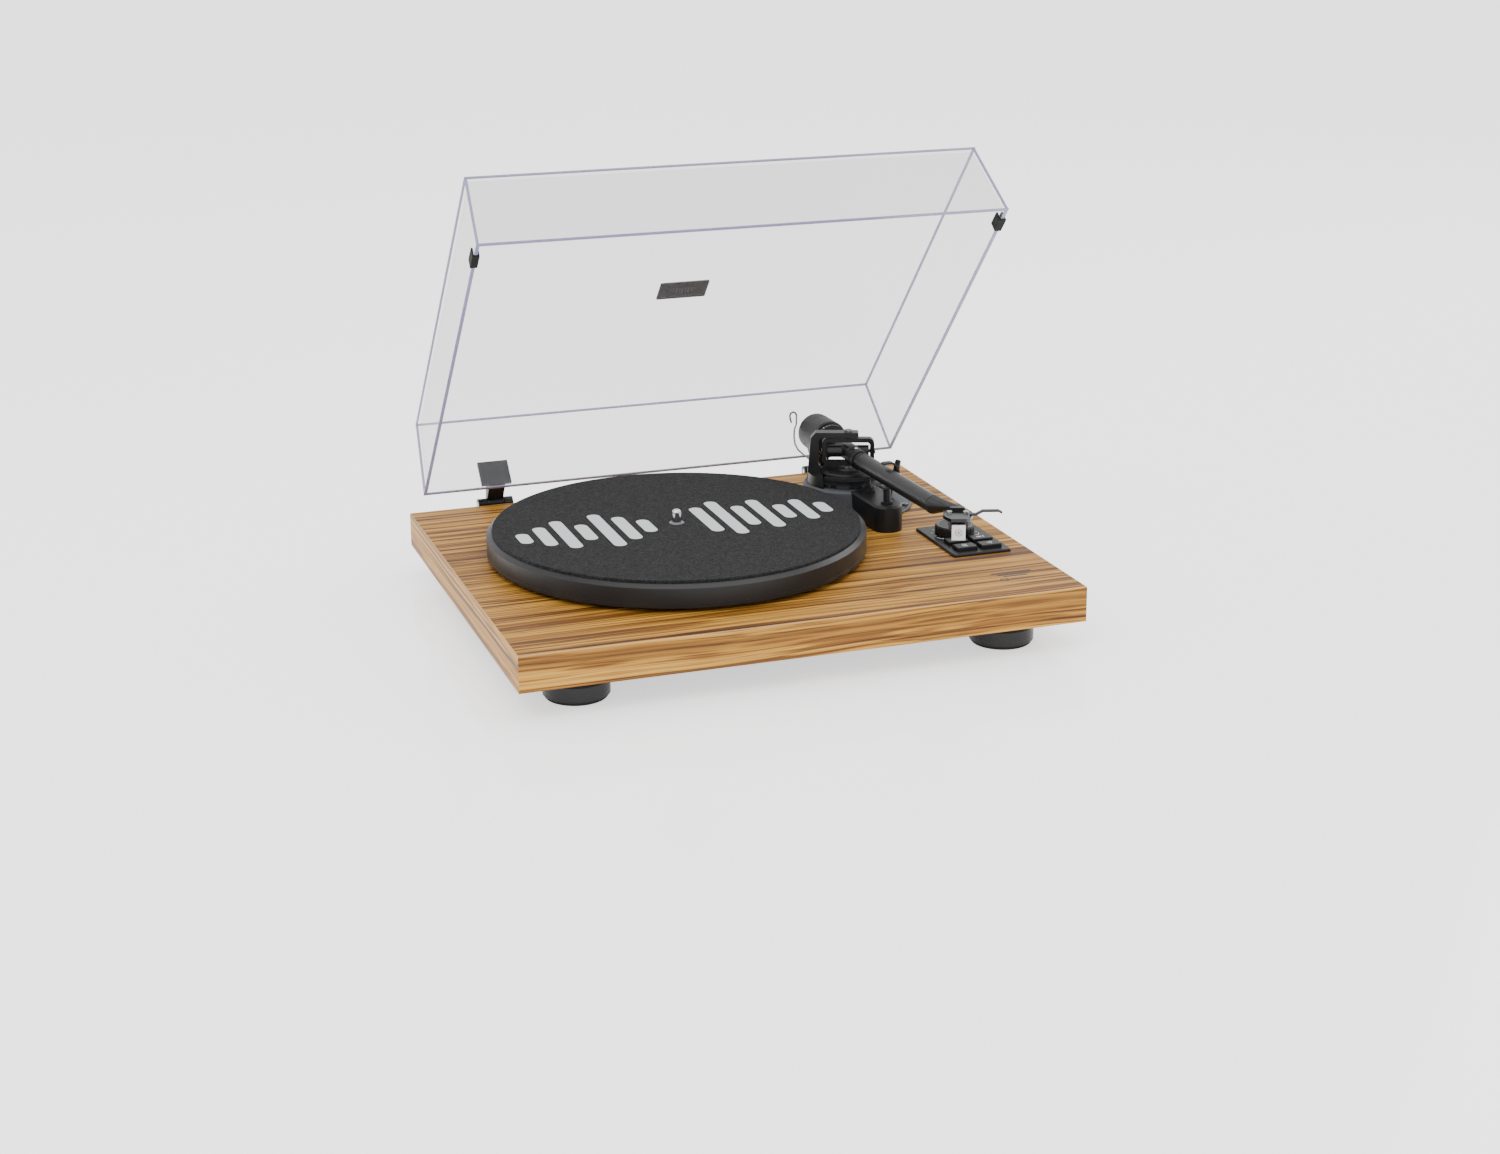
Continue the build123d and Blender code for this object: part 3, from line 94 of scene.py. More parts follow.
def in_cover(x, y, z):
    """Point in the closed cover's own frame, in mm, carried to the open pose."""
    return Vector((x * MM, HINGE.y, HINGE.z)) + COVER_Y * y * MM + COVER_Z * z * MM


# ------------------------------------------------------------------ materials
class Look:
    """A node material with a few short ways to add texture."""

    def __init__(self, name, color, rough=0.5, metal=0.0, coat=0.0, alpha=1.0, spec=0.5, sheen=0.0):
        self.mat = bpy.data.materials.new(name)
        self.mat.use_nodes = True
        self.tree = self.mat.node_tree
        self.p = self.tree.nodes["Principled BSDF"]
        self.set("Base Color", (*color, 1))
        self.set("Roughness", rough)
        self.set("Metallic", metal)
        self.set("Coat Weight", coat)
        self.set("Coat Roughness", 0.15)
        self.set("Alpha", alpha)
        self.set("Specular IOR Level", spec)
        self.set("Sheen Weight", sheen)
        self.place = self.add("ShaderNodeTexCoord").outputs["Object"]

    def set(self, socket, value):
        self.p.inputs[socket].default_value = value

    def add(self, kind, **values):
        node = self.tree.nodes.new(kind)
        for key, value in values.items():
            if hasattr(node, key):
                setattr(node, key, value)
            else:
                node.inputs[key.replace("_", " ")].default_value = value
        return node

    def link(self, a, b):
        self.tree.links.new(a, b)

    def mapped(self, scale, source=None):
        node = self.add("ShaderNodeMapping")
        node.inputs["Scale"].default_value = scale
        self.link(source or self.place, node.inputs["Vector"])
        return node.outputs["Vector"]

    def noise(self, vector, scale, detail=4.0, rough=0.55):
        node = self.add("ShaderNodeTexNoise", Scale=scale, Detail=detail, Roughness=rough)
        self.link(vector, node.inputs["Vector"])
        return node.outputs["Fac"]

    def ramp(self, fac, stops):
        node = self.add("ShaderNodeValToRGB")
        band = node.color_ramp
        while len(band.elements) < len(stops):
            band.elements.new(0.5)
        for element, (at, color) in zip(band.elements, stops):
            element.position = at
            element.color = (*color, 1)
        self.link(fac, node.inputs["Fac"])
        return node.outputs["Color"]

    def math(self, kind, a, b=0.0):
        node = self.add("ShaderNodeMath", operation=kind)
        for i, x in enumerate((a, b)):
            if isinstance(x, (int, float)):
                node.inputs[i].default_value = x
            else:
                self.link(x, node.inputs[i])
        return node.outputs["Value"]

    def mix(self, fac, a, b, kind="MIX"):
        node = self.add("ShaderNodeMix", data_type="RGBA", blend_type=kind)
        if isinstance(fac, (int, float)):
            node.inputs[0].default_value = fac
        else:
            self.link(fac, node.inputs[0])
        for i, x in ((6, a), (7, b)):
            if isinstance(x, tuple):
                node.inputs[i].default_value = (*x, 1)
            else:
                self.link(x, node.inputs[i])
        return node.outputs[2]

    def color(self, source):
        self.link(source, self.p.inputs["Base Color"])

    def rough(self, fac, low, high):
        node = self.add("ShaderNodeMapRange", To_Min=low, To_Max=high)
        self.link(fac, node.inputs["Value"])
        self.link(node.outputs["Result"], self.p.inputs["Roughness"])

    def bump(self, height, depth=0.0004, strength=0.5):
        node = self.add("ShaderNodeBump", Strength=strength, Distance=depth)
        self.link(height, node.inputs["Height"])
        self.link(node.outputs["Normal"], self.p.inputs["Normal"])


def grained(name, color, rough, low, high, scale=900, depth=0.00006, coat=0.0, spec=0.5):
    """Moulded or painted surface: faint cloudiness in colour and shine, and a fine grain."""
    look = Look(name, color, rough, coat=coat, spec=spec)
    cloud = look.noise(look.mapped((1, 1, 1)), 28, 3)
    dark = tuple(c * low for c in color)
    light = tuple(c * high for c in color)
    look.color(look.ramp(cloud, [(0.3, dark), (0.7, light)]))
    look.rough(cloud, rough * 0.88, min(rough * 1.14, 1))
    look.bump(look.noise(look.mapped((1, 1, 1)), scale, 2), depth, 0.35)
    return look


def brushed(name, color, rough, stretch=(1, 1, 60)):
    """Metal with fine lines, which are close together along the axis that is stretched most."""
    look = Look(name, color, rough, 1.0)
    lines = look.noise(look.mapped(stretch), 400, 2)
    look.color(look.ramp(lines, [(0.3, tuple(c * 0.8 for c in color)), (0.7, color)]))
    look.rough(lines, rough * 0.7, rough * 1.3)
    return look


def wood():
    """Printed wood foil: broad bands, dark streaks, fine lines and pores."""
    look = Look("wood_foil", (0.42, 0.25, 0.09), 0.42, spec=0.25)
    geo = look.add("ShaderNodeNewGeometry")
    split = look.add("ShaderNodeSeparateXYZ")
    look.link(geo.outputs["Normal"], split.inputs[0])
    sideways = look.math("GREATER_THAN", look.math("ABSOLUTE", split.outputs[0]), 0.6)
    spot = look.add("ShaderNodeSeparateXYZ")
    look.link(look.place, spot.inputs[0])
    # the grain runs left to right, and front to back on the two side faces
    swap = look.add("ShaderNodeCombineXYZ")
    look.link(spot.outputs[1], swap.inputs[0])
    look.link(spot.outputs[2], swap.inputs[1])
    look.link(spot.outputs[0], swap.inputs[2])
    pick = look.add("ShaderNodeMix", data_type="VECTOR")
    look.link(sideways, pick.inputs[0])
    look.link(look.place, pick.inputs[4])
    look.link(swap.outputs[0], pick.inputs[5])
    where = pick.outputs[1]
    # slow waver of the lines
    waver = look.add("ShaderNodeTexNoise", Scale=1.0, Detail=2.0)
    look.link(look.mapped((4, 16, 16), source=where), waver.inputs["Vector"])
    shifted = look.add("ShaderNodeMix", data_type="VECTOR")
    shifted.inputs[0].default_value = 0.011
    look.link(where, shifted.inputs[4])
    look.link(waver.outputs["Color"], shifted.inputs[5])
    grain = shifted.outputs[1]
    broad = look.noise(look.mapped((0.7, 75, 75), source=grain), 1.0, 2, 0.5)
    streak = look.noise(look.mapped((1.8, 240, 240), source=grain), 1.0, 3, 0.6)
    fine = look.noise(look.mapped((3.5, 620, 620), source=grain), 1.0, 2, 0.6)
    pores = look.noise(look.mapped((30, 1500, 1500), source=grain), 1.0, 2, 0.5)
    base = look.ramp(broad, [(0.34, (0.22, 0.095, 0.012)), (0.45, (0.44, 0.215, 0.030)),
                             (0.57, (0.62, 0.335, 0.056)), (0.7, (0.44, 0.22, 0.033))])
    lines = look.ramp(streak, [(0.36, (0.17, 0.10, 0.06)), (0.44, (0.5, 0.39, 0.28)), (0.51, (1, 1, 1)),
                               (0.68, (1.0, 0.97, 0.9))])
    thin = look.ramp(fine, [(0.37, (0.24, 0.15, 0.10)), (0.47, (0.8, 0.73, 0.64)), (0.58, (1, 1, 1))])
    fleck = look.ramp(pores, [(0.3, (0.6, 0.5, 0.42)), (0.42, (1, 1, 1))])
    made = look.mix(0.85, look.mix(0.95, base, lines, "MULTIPLY"), thin, "MULTIPLY")
    made = look.mix(0.6, made, fleck, "MULTIPLY")
    # paler line along the chamfered top edge
    chamfer = 0.00063
    edge = look.math("MULTIPLY", look.math("GREATER_THAN", spot.outputs[2], TOP - chamfer),
                     look.math("LESS_THAN", look.math("ABSOLUTE", split.outputs[2]), 0.95))
    look.color(look.mix(look.math("MULTIPLY", edge, 0.55), made, (0.66, 0.44, 0.22)))
    look.rough(streak, 0.42, 0.58)
    look.bump(pores, 0.00008, 0.25)
    return look


def felt():
    """Black felt: pale specks over soft clumps."""
    look = Look("mat_felt", (0.014, 0.014, 0.014), 0.95, spec=0.1, sheen=0.04)
    fibres = look.noise(look.mapped((1, 1, 1)), 900, 3, 0.7)
    clumps = look.noise(look.mapped((1, 1, 1)), 260, 4, 0.6)
    speck = look.ramp(fibres, [(0.36, (0.003, 0.003, 0.003)), (0.5, (0.011, 0.011, 0.0115)),
                               (0.64, (0.06, 0.06, 0.062))])
    shade = look.ramp(clumps, [(0.35, (0.005, 0.005, 0.005)), (0.7, (0.026, 0.026, 0.027))])
    look.color(look.mix(0.5, speck, shade))
    look.bump(fibres, 0.0006, 0.7)
    return look


def acrylic(name, color, alpha, rough=0.04):
    """See-through plastic with a faintly uneven shine."""
    look = Look(name, color, rough, alpha=alpha, spec=0.6)
    haze = look.noise(look.mapped((1, 1, 1)), 9, 2)
    look.rough(haze, rough * 0.8, rough * 1.6)
    return look


def printed(name, color, rough=0.6):
    """Flat ink with faint wear."""
    look = Look(name, color, rough)
    worn = look.noise(look.mapped((1, 1, 1)), 1500, 3)
    look.color(look.ramp(worn, [(0.3, tuple(c * 0.86 for c in color)), (0.55, color)]))
    return look


LOOKS = {
    "wood": wood(),
    "felt": felt(),
    "plastic": grained("black_plastic", (0.0085, 0.0088, 0.0095), 0.4, 0.75, 1.3, spec=0.32),
    "disc": grained("disc_plastic", (0.062, 0.068, 0.077), 0.5, 0.85, 1.15, spec=0.35),
    "gloss": grained("black_gloss", (0.007, 0.007, 0.0075), 0.22, 0.8, 1.2, depth=0.00002, spec=0.35),
    "satin": grained("satin_black_paint", (0.0075, 0.0078, 0.0085), 0.34, 0.8, 1.25, spec=0.4),
    "platter": grained("platter_paint", (0.0095, 0.0097, 0.0102), 0.36, 0.88, 1.12, 1400, spec=0.34),
    "weight": grained("weight_paint", (0.0095, 0.0095, 0.0105), 0.4, 0.8, 1.2, spec=0.35),
    "rubber": grained("rubber", (0.009, 0.009, 0.009), 0.78, 0.8, 1.3, 600, 0.0001, spec=0.25),
    "pan": grained("pan_sheet", (0.03, 0.03, 0.032), 0.5, 0.8, 1.2),
    "pcb": grained("board_green", (0.02, 0.11, 0.045), 0.4, 0.7, 1.2, coat=0.3),
    "white": grained("stylus_white", (0.72, 0.72, 0.74), 0.28, 0.95, 1.0, depth=0.00002, coat=0.3),
    "steel": brushed("bright_steel", (0.62, 0.62, 0.64), 0.28),
    "dark_steel": brushed("dark_steel", (0.22, 0.22, 0.23), 0.32),
    "chrome": brushed("chrome", (0.82, 0.82, 0.84), 0.1),
    "brass": brushed("brass", (0.75, 0.56, 0.25), 0.28),
    "alloy": brushed("alloy", (0.6, 0.6, 0.62), 0.36, (60, 60, 1)),
    "badge": brushed("badge_foil", (0.10, 0.10, 0.105), 0.35, (80, 1, 1)),
    "clear": acrylic("clear_acrylic", (0.36, 0.36, 0.39), 0.13),
    "edge": acrylic("acrylic_edge", (0.26, 0.25, 0.42), 0.85, 0.12),
    "print": printed("pale_print", (0.60, 0.62, 0.63)),
    "ink": printed("dark_ink", (0.05, 0.03, 0.02)),
    "mark": printed("white_print", (0.75, 0.76, 0.78)),
    "red": grained("red_sleeve", (0.5, 0.02, 0.02), 0.4, 0.85, 1.1),
    "green": grained("green_sleeve", (0.02, 0.25, 0.06), 0.4, 0.85, 1.1),
    "blue": grained("blue_sleeve", (0.02, 0.06, 0.4), 0.4, 0.85, 1.1),
    "cream": grained("cream_sleeve", (0.7, 0.68, 0.62), 0.4, 0.9, 1.05),
}

CARRIED = {
    "wood": ["plinth"],
    "felt": ["slip_mat"],
    "platter": ["platter"],
    "plastic": ["foot_front_left", "foot_rear_left", "foot_front_right", "foot_rear_right", "arm_turret",
                "cue_block", "cue_lever", "armrest_post", "control_panel", "volume_knob", "button_power",
                "button_source", "button_speed", "button_pair", "rear_panel", "power_rocker",
                "hinge_base_left", "hinge_base_right", "hinge_arm_left", "hinge_arm_right", "dc_jack",
                "cue_piston"],
    "disc": ["arm_base_disc"],
    "satin": ["arm_yoke", "gimbal_ring", "arm_pivot_block", "arm_tube"],
    "weight": ["counterweight", "force_dial"],
    "gloss": ["headshell", "finger_lift", "cartridge_body"],
    "rubber": ["foot_pads", "drive_belt", "cover_bumpers"],
    "pan": ["base_pan"],
    "pcb": ["control_board", "main_board"],
    "white": ["stylus_assembly"],
    "steel": ["headshell_screws", "hinge_pins", "thrust_ball", "motor_body"],
    "dark_steel": ["underside_screws", "deck_screws", "lower_pivot_post", "upper_pivot_screw",
                   "anti_skate_wire"],
    "chrome": ["spindle_shaft"],
    "brass": ["bearing_bushes", "rca_jacks", "motor_pulley"],
    "alloy": ["bearing_housing"],
    "badge": ["cover_badge"],
    "clear": ["dust_cover"],
}
for look_name, node_names in CARRIED.items():
    for node_name in node_names:
        mesh = NODES[node_name].data
        for i in range(max(1, len(mesh.materials))):
            if len(mesh.materials) <= i:
                mesh.materials.append(LOOKS[look_name].mat)
            else:
                mesh.materials[i] = LOOKS[look_name].mat


# ------------------------------------------------------------------ shape helpers
def piece(name, verts, faces, look, body, slot, smooth=False):
    """A new mesh object that rides on one body of the frame."""
    mesh = bpy.data.meshes.new(name)
    mesh.from_pydata([tuple(v) for v in verts], [], faces)
    mesh.validate()
    mesh.update()
    obj = bpy.data.objects.new(name, mesh)
    bpy.context.scene.collection.objects.link(obj)
    mesh.materials.append(LOOKS[look].mat)
    if smooth:
        for face in mesh.polygons:
            face.use_smooth = True
    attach(obj, body)
    return obj


def slab(outline, origin, x, y, n, thick):
    """Verts and faces of a flat prism: outline in mm along x and y, thick mm along n."""
    low = [origin + x * a * MM + y * b * MM for a, b in outline]
    count = len(outline)
    verts = low + [p + n * thick * MM for p in low]
    faces = [tuple(range(count))[::-1], tuple(range(count, 2 * count))]
    faces += [(i, (i + 1) % count, (i + 1) % count + count, i + count) for i in range(count)]
    return verts, faces


def joined(parts):
    """The verts and faces of several shapes as one."""
    verts, faces = [], []
    for v, f in parts:
        faces += [tuple(i + len(verts) for i in face) for face in f]
        verts += v
    return verts, faces


def rectangle(cx, cy, w, h):
    left, right = cx - w / 2, cx + w / 2
    low, high = cy - h / 2, cy + h / 2
    return [(left, low), (right, low), (right, high), (left, high)]


def pill(cx, cy, w, h, n=8):
    """Upright bar with round ends."""
    r = w / 2
    top = [(cx + r * cos(a), cy + h / 2 - r + r * sin(a)) for a in [pi * i / n for i in range(n + 1)]]
    low = [(cx - r * cos(a), cy - h / 2 + r - r * sin(a)) for a in [pi * i / n for i in range(n + 1)]]
    return top + low


def arc_band(cx, cy, r, w, a0, a1, n=24):
    """Band of width w that follows an arc of radius r, between two angles in degrees."""
    angles = [radians(a0 + (a1 - a0) * i / n) for i in range(n + 1)]
    outer = [(cx + (r + w / 2) * cos(a), cy + (r + w / 2) * sin(a)) for a in angles]
    inner = [(cx + (r - w / 2) * cos(a), cy + (r - w / 2) * sin(a)) for a in reversed(angles)]
    return outer + inner


def turned(profile, origin, axis, n=64):
    """Closed profile of (radius, height) in mm, turned about an axis."""
    side = axis.orthogonal().normalized()
    other = axis.cross(side)
    count = len(profile)
    verts = [origin + axis * h * MM + (side * cos(2 * pi * k / n) + other * sin(2 * pi * k / n)) * r * MM
             for k in range(n) for r, h in profile]
    faces = [(k * count + i, k * count + (i + 1) % count, (k + 1) % n * count + (i + 1) % count,
              (k + 1) % n * count + i) for k in range(n) for i in range(count)]
    return verts, faces


def pipe(points, radius, n=10):
    """A round rod of radius mm through points given in metres."""
    rings = []
    up = Vector((0.31, 0.17, 0.94))
    for i, p in enumerate(points):
        along = (points[min(i + 1, len(points) - 1)] - points[max(i - 1, 0)]).normalized()
        side = along.cross(up).normalized()
        other = along.cross(side)
        turns = [2 * pi * k / n for k in range(n)]
        rings.append([p + (side * cos(t) + other * sin(t)) * radius * MM for t in turns])
    verts = [v for ring in rings for v in ring]
    faces = [(i * n + k, i * n + (k + 1) % n, (i + 1) * n + (k + 1) % n, (i + 1) * n + k)
             for i in range(len(points) - 1) for k in range(n)]
    faces += [tuple(range(n))[::-1], tuple(range((len(points) - 1) * n, len(points) * n))]
    return verts, faces


def curve(a, b, c, d, n=14):
    """Points of a cubic curve from a to d, with b and c as its handles."""
    return [a * (1 - t) ** 3 + b * 3 * t * (1 - t) ** 2 + c * 3 * t * t * (1 - t) + d * t ** 3
            for t in [i / n for i in range(n + 1)]]


# ------------------------------------------------------------------ prints
# a row of upright bars on the mat; the two nearest the spindle are left out
BAR_PITCH = 16.6
BAR_W = 10.5
BAR_HEIGHTS = (26, 50, 74, 42, 88, 62, 34, 40, 36, 68, 92, 54, 78, 38, 56, 28)
mat_origin = Vector((SPINDLE.x, SPINDLE.y, MAT_TOP - 2 * SINK))
bars = []
for i, height in enumerate(BAR_HEIGHTS):
    x = (i - (len(BAR_HEIGHTS) - 1) / 2) * BAR_PITCH
    if abs(x) > BAR_PITCH / 2 + 0.01:
        bars.append(slab(pill(x, 0, BAR_W, height), mat_origin, X, Y, UP, 0.12))
piece("mat_wave_print", *joined(bars), "print", "platter", "felt")

# plain lines and a small ring at the front right corner of the plinth
mark_origin = Vector((0.183, CENTRE.y - 0.139, TOP - SINK))
marks = [rectangle(0, 5 - 4.2 * i, 34 - 7 * i, 2.4) for i in range(3)]
marks += [arc_band(-12, -10, 3.0, 1.4, 0, 330), rectangle(3, -10, 20, 1.8)]
lines = [slab(mark, mark_origin, X, Y, UP, INK_THICK) for mark in marks]
piece("plinth_print", *joined(lines), "ink", "chassis", "wood_foil")

# scale round the level knob
SCALE_R = 18.2
SCALE_ARC_R = 19.6
TICK_STEP = 27
knob_origin = Vector((KNOB.x, KNOB.y, PANEL_TOP - SINK))
ticks = []
for i in range(11):
    a = -90 + (i - 5) * TICK_STEP
    if a < 20 or i == 10:
        outward = Vector((cos(radians(a)), sin(radians(a)), 0))
        tick = rectangle(SCALE_R, 0, 1.8, 0.55)
        ticks.append(slab(tick, knob_origin, outward, UP.cross(outward), UP, INK_THICK))
for a0, a1 in ((-160, -112), (-68, -20)):
    ticks.append(slab(arc_band(0, 0, SCALE_ARC_R, 0.5, a0, a1), knob_origin, X, Y, UP, INK_THICK))
piece("knob_scale", *joined(ticks), "mark", "chassis", "black_plastic")
knob_top = Vector((KNOB.x, KNOB.y, hi("volume_knob").z))
pointer = slab(rectangle(0, -11, 0.9, 5.2), knob_top - UP * 0.0008, X, Y, UP, 0.3)
piece("knob_pointer", *pointer, "mark", "volume", "black_plastic")
knob_rim = turned([(13.4, 0), (14.0, 0), (14.0, 0.14), (13.4, 0.14)], knob_top, UP)
piece("knob_rim", *knob_rim, "dark_steel", "volume", "black_plastic", True)

# button symbols
SYMBOLS = {
    "button_power": [arc_band(0, 0, 2.1, 0.6, 115, 425), rectangle(0, 2.2, 0.6, 2.4)],
    "button_source": [rectangle(-2.6, 0, 0.7, 3), [(-1.4, -1.6), (1.4, 0), (-1.4, 1.6)],
                      rectangle(2.6, 0, 0.7, 3)],
    "button_speed": [arc_band(0, 0, 2.3, 0.5, 30, 330), arc_band(0, 0, 0.7, 0.6, 0, 350)],
    "button_pair": [arc_band(-1, 0, 1.4, 0.5, -60, 60), arc_band(-1, 0, 3.0, 0.5, -50, 50),
                    rectangle(-1.4, 0, 0.8, 0.8)],
}
for node_name, shapes in SYMBOLS.items():
    top = mid(node_name)
    top.z = hi(node_name).z - SINK
    body = node_name.replace("button_", "") + "_button"
    symbol = joined([slab(shape, top, X, Y, UP, INK_THICK) for shape in shapes])
    piece(node_name + "_symbol", *symbol, "mark", body, "black_plastic")

# plaque on the cover
badge = mid("cover_badge") + COVER_Z * 0.0004
marks = [rectangle(0, 9.6, 40, 0.5), rectangle(0, -9.6, 40, 0.5)]
marks += [pill((i - 4) * 2.6, 0, 1.2, height) for i, height in enumerate((3, 6, 9, 5, 11, 7, 10, 5, 3))]
parts = [slab(mark, badge, X, COVER_Y, COVER_Z, 0.06) for mark in marks]
piece("badge_print", *joined(parts), "print", "cover", "badge")

# ------------------------------------------------------------------ cover edges
COVER_W = 424.0
COVER_D = 345.0
COVER_H = 68.0
COVER_T = 3.0
RIM_Y = -21.0
RIM_Z = 1.5
# how far the walls lean in over their height: sides, rear and front
SIDE_LEAN = 5.0
REAR_LEAN = 4.0
FRONT_LEAN = 7.0


def cover_corner(sx, rear, up, inset=0.0):
    """Outer corner of the cover at a height fraction, moved in by inset mm."""
    x = sx * (COVER_W / 2 - SIDE_LEAN * up - inset)
    y = RIM_Y - REAR_LEAN * up - inset if rear else RIM_Y - COVER_D + FRONT_LEAN * up + inset
    return in_cover(x, y, RIM_Z + COVER_H * up)


def frame_band(up0, up1, inset0, inset1):
    """A closed band round the cover between two heights and two insets."""
    order = ((-1, False), (1, False), (1, True), (-1, True))
    rings = [[cover_corner(sx, r, u, i) for sx, r in order]
             for u, i in ((up0, inset0), (up0, inset1), (up1, inset1), (up1, inset0))]
    verts = [v for ring in rings for v in ring]
    faces = []
    for a, b in ((0, 1), (1, 2), (2, 3), (3, 0)):
        faces += [(a * 4 + k, a * 4 + (k + 1) % 4, b * 4 + (k + 1) % 4, b * 4 + k) for k in range(4)]
    return verts, faces


edges = [frame_band(-0.0006, 0.012, 0.15, COVER_T - 0.15)]
edges.append(frame_band(0.982, 1.0003, 0.1, 1.9))
for sx in (-1, 1):
    for rear in (False, True):
        ends = [cover_corner(sx, rear, up, 1.3) for up in (0.01, 0.99)]
        edges.append(pipe(ends, 1.15, 8))
piece("cover_edges", *joined(edges), "edge", "cover", "clear_acrylic")

# ------------------------------------------------------------------ tonearm details
def round_arm(outline, a, radius, thick, turn):
    """A slab on a drum about the tonearm's axis, at point a and an angle from its right side."""
    radial = RIGHT * cos(turn) + UP * sin(turn)
    return slab(outline, on_arm(a) + radial * radius * MM, radial.cross(ALONG), ALONG, radial, thick)


# knurled grip on the counterweight, marks on the dial, rings on the tube and the rear stub
TUBE_DROP = 2.0
GRIP_RIBS = 60
DIAL_MARKS = 30
grip = [round_arm(rectangle(0, 0, 0.55, 9), -62.5, 15.70, 0.42, 2 * pi * k / GRIP_RIBS)
        for k in range(GRIP_RIBS)]
piece("weight_grip", *joined(grip), "weight", "weight", "black_metal")
dial = []
for k in range(DIAL_MARKS):
    length = 2.8 if k % 5 == 0 else 1.5
    outline = rectangle(0, 1.9 - length / 2, 0.3, length)
    dial.append(round_arm(outline, -36.5, 13.98, INK_THICK, 2 * pi * k / DIAL_MARKS))
piece("dial_marks", *joined(dial), "mark", "dial", "black_plastic")
tube_ring = [(7.25, 0), (7.55, 0.2), (7.55, 1.4), (7.25, 1.6)]
collar_ring = [(8.05, 0), (8.35, 0.3), (8.35, 2.0), (8.05, 2.3)]
rings = [turned(profile, on_arm(a, 0, -TUBE_DROP), ALONG)
         for profile, a in ((tube_ring, 30.0), (tube_ring, 163.0), (collar_ring, 22.0))]
piece("tube_rings", *joined(rings), "satin", "tonearm", "black_metal", True)
stub_ring = turned([(4.38, 0), (4.9, 0.3), (4.9, 2.2), (4.38, 2.5)], on_arm(-17), ALONG)
piece("stub_ring", *stub_ring, "steel", "tonearm", "black_metal", True)

# small bearing screws with a centre dimple on the gimbal's two sides, and one clamp screw
GIMBAL_SIDE = 0.0221
bearing_screw = [(0, -0.2), (2.2, -0.2), (2.2, 0.5), (1.8, 0.9), (0.35, 0.9), (0.35, 0.4), (0, 0.4)]
screws = [turned(bearing_screw, PIVOT + way * GIMBAL_SIDE, way, 24) for way in (ACROSS, -ACROSS)]
piece("gimbal_screws", *joined(screws), "dark_steel", "gimbal", "black_metal", True)
clamp = turned([(0, -0.3), (1.6, -0.3), (1.6, 0.5), (1.2, 0.8), (0, 0.8)], on_arm(16, 0, 6.2), UP, 24)
piece("clamp_screw", *clamp, "steel", "tonearm", "steel", True)

# soft strip on the lift bar, rings and a cap on the lever
LIFT_BAR_R = 41.5
LEVER_LEAN = radians(14)
strip_origin = Vector((PIVOT.x, PIVOT.y, hi("cue_piston").z - 2 * SINK))
strip = slab(arc_band(0, 0, LIFT_BAR_R, 2.2, -51, 9), strip_origin, ALONG, RIGHT, UP, 0.1)
piece("lift_bar_strip", *strip, "rubber", "cue_lift", "rubber")
foot = Vector(JOINTS["cue_lever_turn"]["pos_m"])
lean = UP * cos(LEVER_LEAN) + RIGHT * sin(LEVER_LEAN)
lever_ring = [(2.5, 0), (2.75, 0.3), (2.75, 0.9), (2.5, 1.2)]
rings = [turned(lever_ring, foot + lean * height * MM, lean, 32) for height in (22, 26, 30)]
piece("lever_grip", *joined(rings), "rubber", "cue_lever", "black_plastic", True)
tip = turned([(0, 0), (2.3, 0), (2.1, 0.5), (1.4, 0.95), (0, 1.1)], foot + lean * 36 * MM, lean, 32)
piece("lever_tip", *tip, "plastic", "cue_lever", "black_plastic", True)

# coloured cartridge leads in place of the plain ones, with clips on the pins
PIN_SIDE = 4
PIN_LEVEL = 1.1
PIN_DROP = 3.4
PINS = [(side, level) for side in (-PIN_SIDE, PIN_SIDE) for level in (-PIN_LEVEL, PIN_LEVEL)]
shell_mid = mid("headshell_screws")
shell = Vector((shell_mid.x, shell_mid.y, lo("headshell").z))


def by_shell(back_mm, side_mm, up_mm):
    """Point behind, beside and above the middle of the headshell's underside, in mm."""
    return shell - AHEAD * back_mm * MM + ACROSS * side_mm * MM + UP * up_mm * MM


for (side, level), look_name in zip(PINS, ("blue", "green", "cream", "red")):
    at_pin = by_shell(10.6, side, level - PIN_DROP)
    at_tube = by_shell(17.2, side * 0.45, level * 0.4 - 2.2)
    route = curve(at_pin, at_pin - AHEAD * 0.004, at_tube - UP * 0.0026, at_tube)
    piece("lead_" + look_name, *pipe(route, 0.42, 8), look_name, "tonearm", "rubber", True)
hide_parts("cartridge_leads")
clips = [pipe([by_shell(behind, side, level - PIN_DROP) for behind in (8.4, 12.2)], 0.85, 10)
         for side, level in PINS]
piece("lead_clips", *joined(clips), "brass", "tonearm", "brass", True)

# mark on the stylus guard
guard = by_shell(-17.7, 0, -8)
marks = [arc_band(0, 0, 2.6, 0.4, 0, 350)]
marks += [pill(x, 0, 0.5, height) for x, height in ((-1, 1.4), (0, 2.8), (1, 1.8))]
guard_marks = [slab(mark, guard, ACROSS, UP, AHEAD, INK_THICK) for mark in marks]
piece("guard_mark", *joined(guard_marks), "ink", "tonearm", "stylus_white")

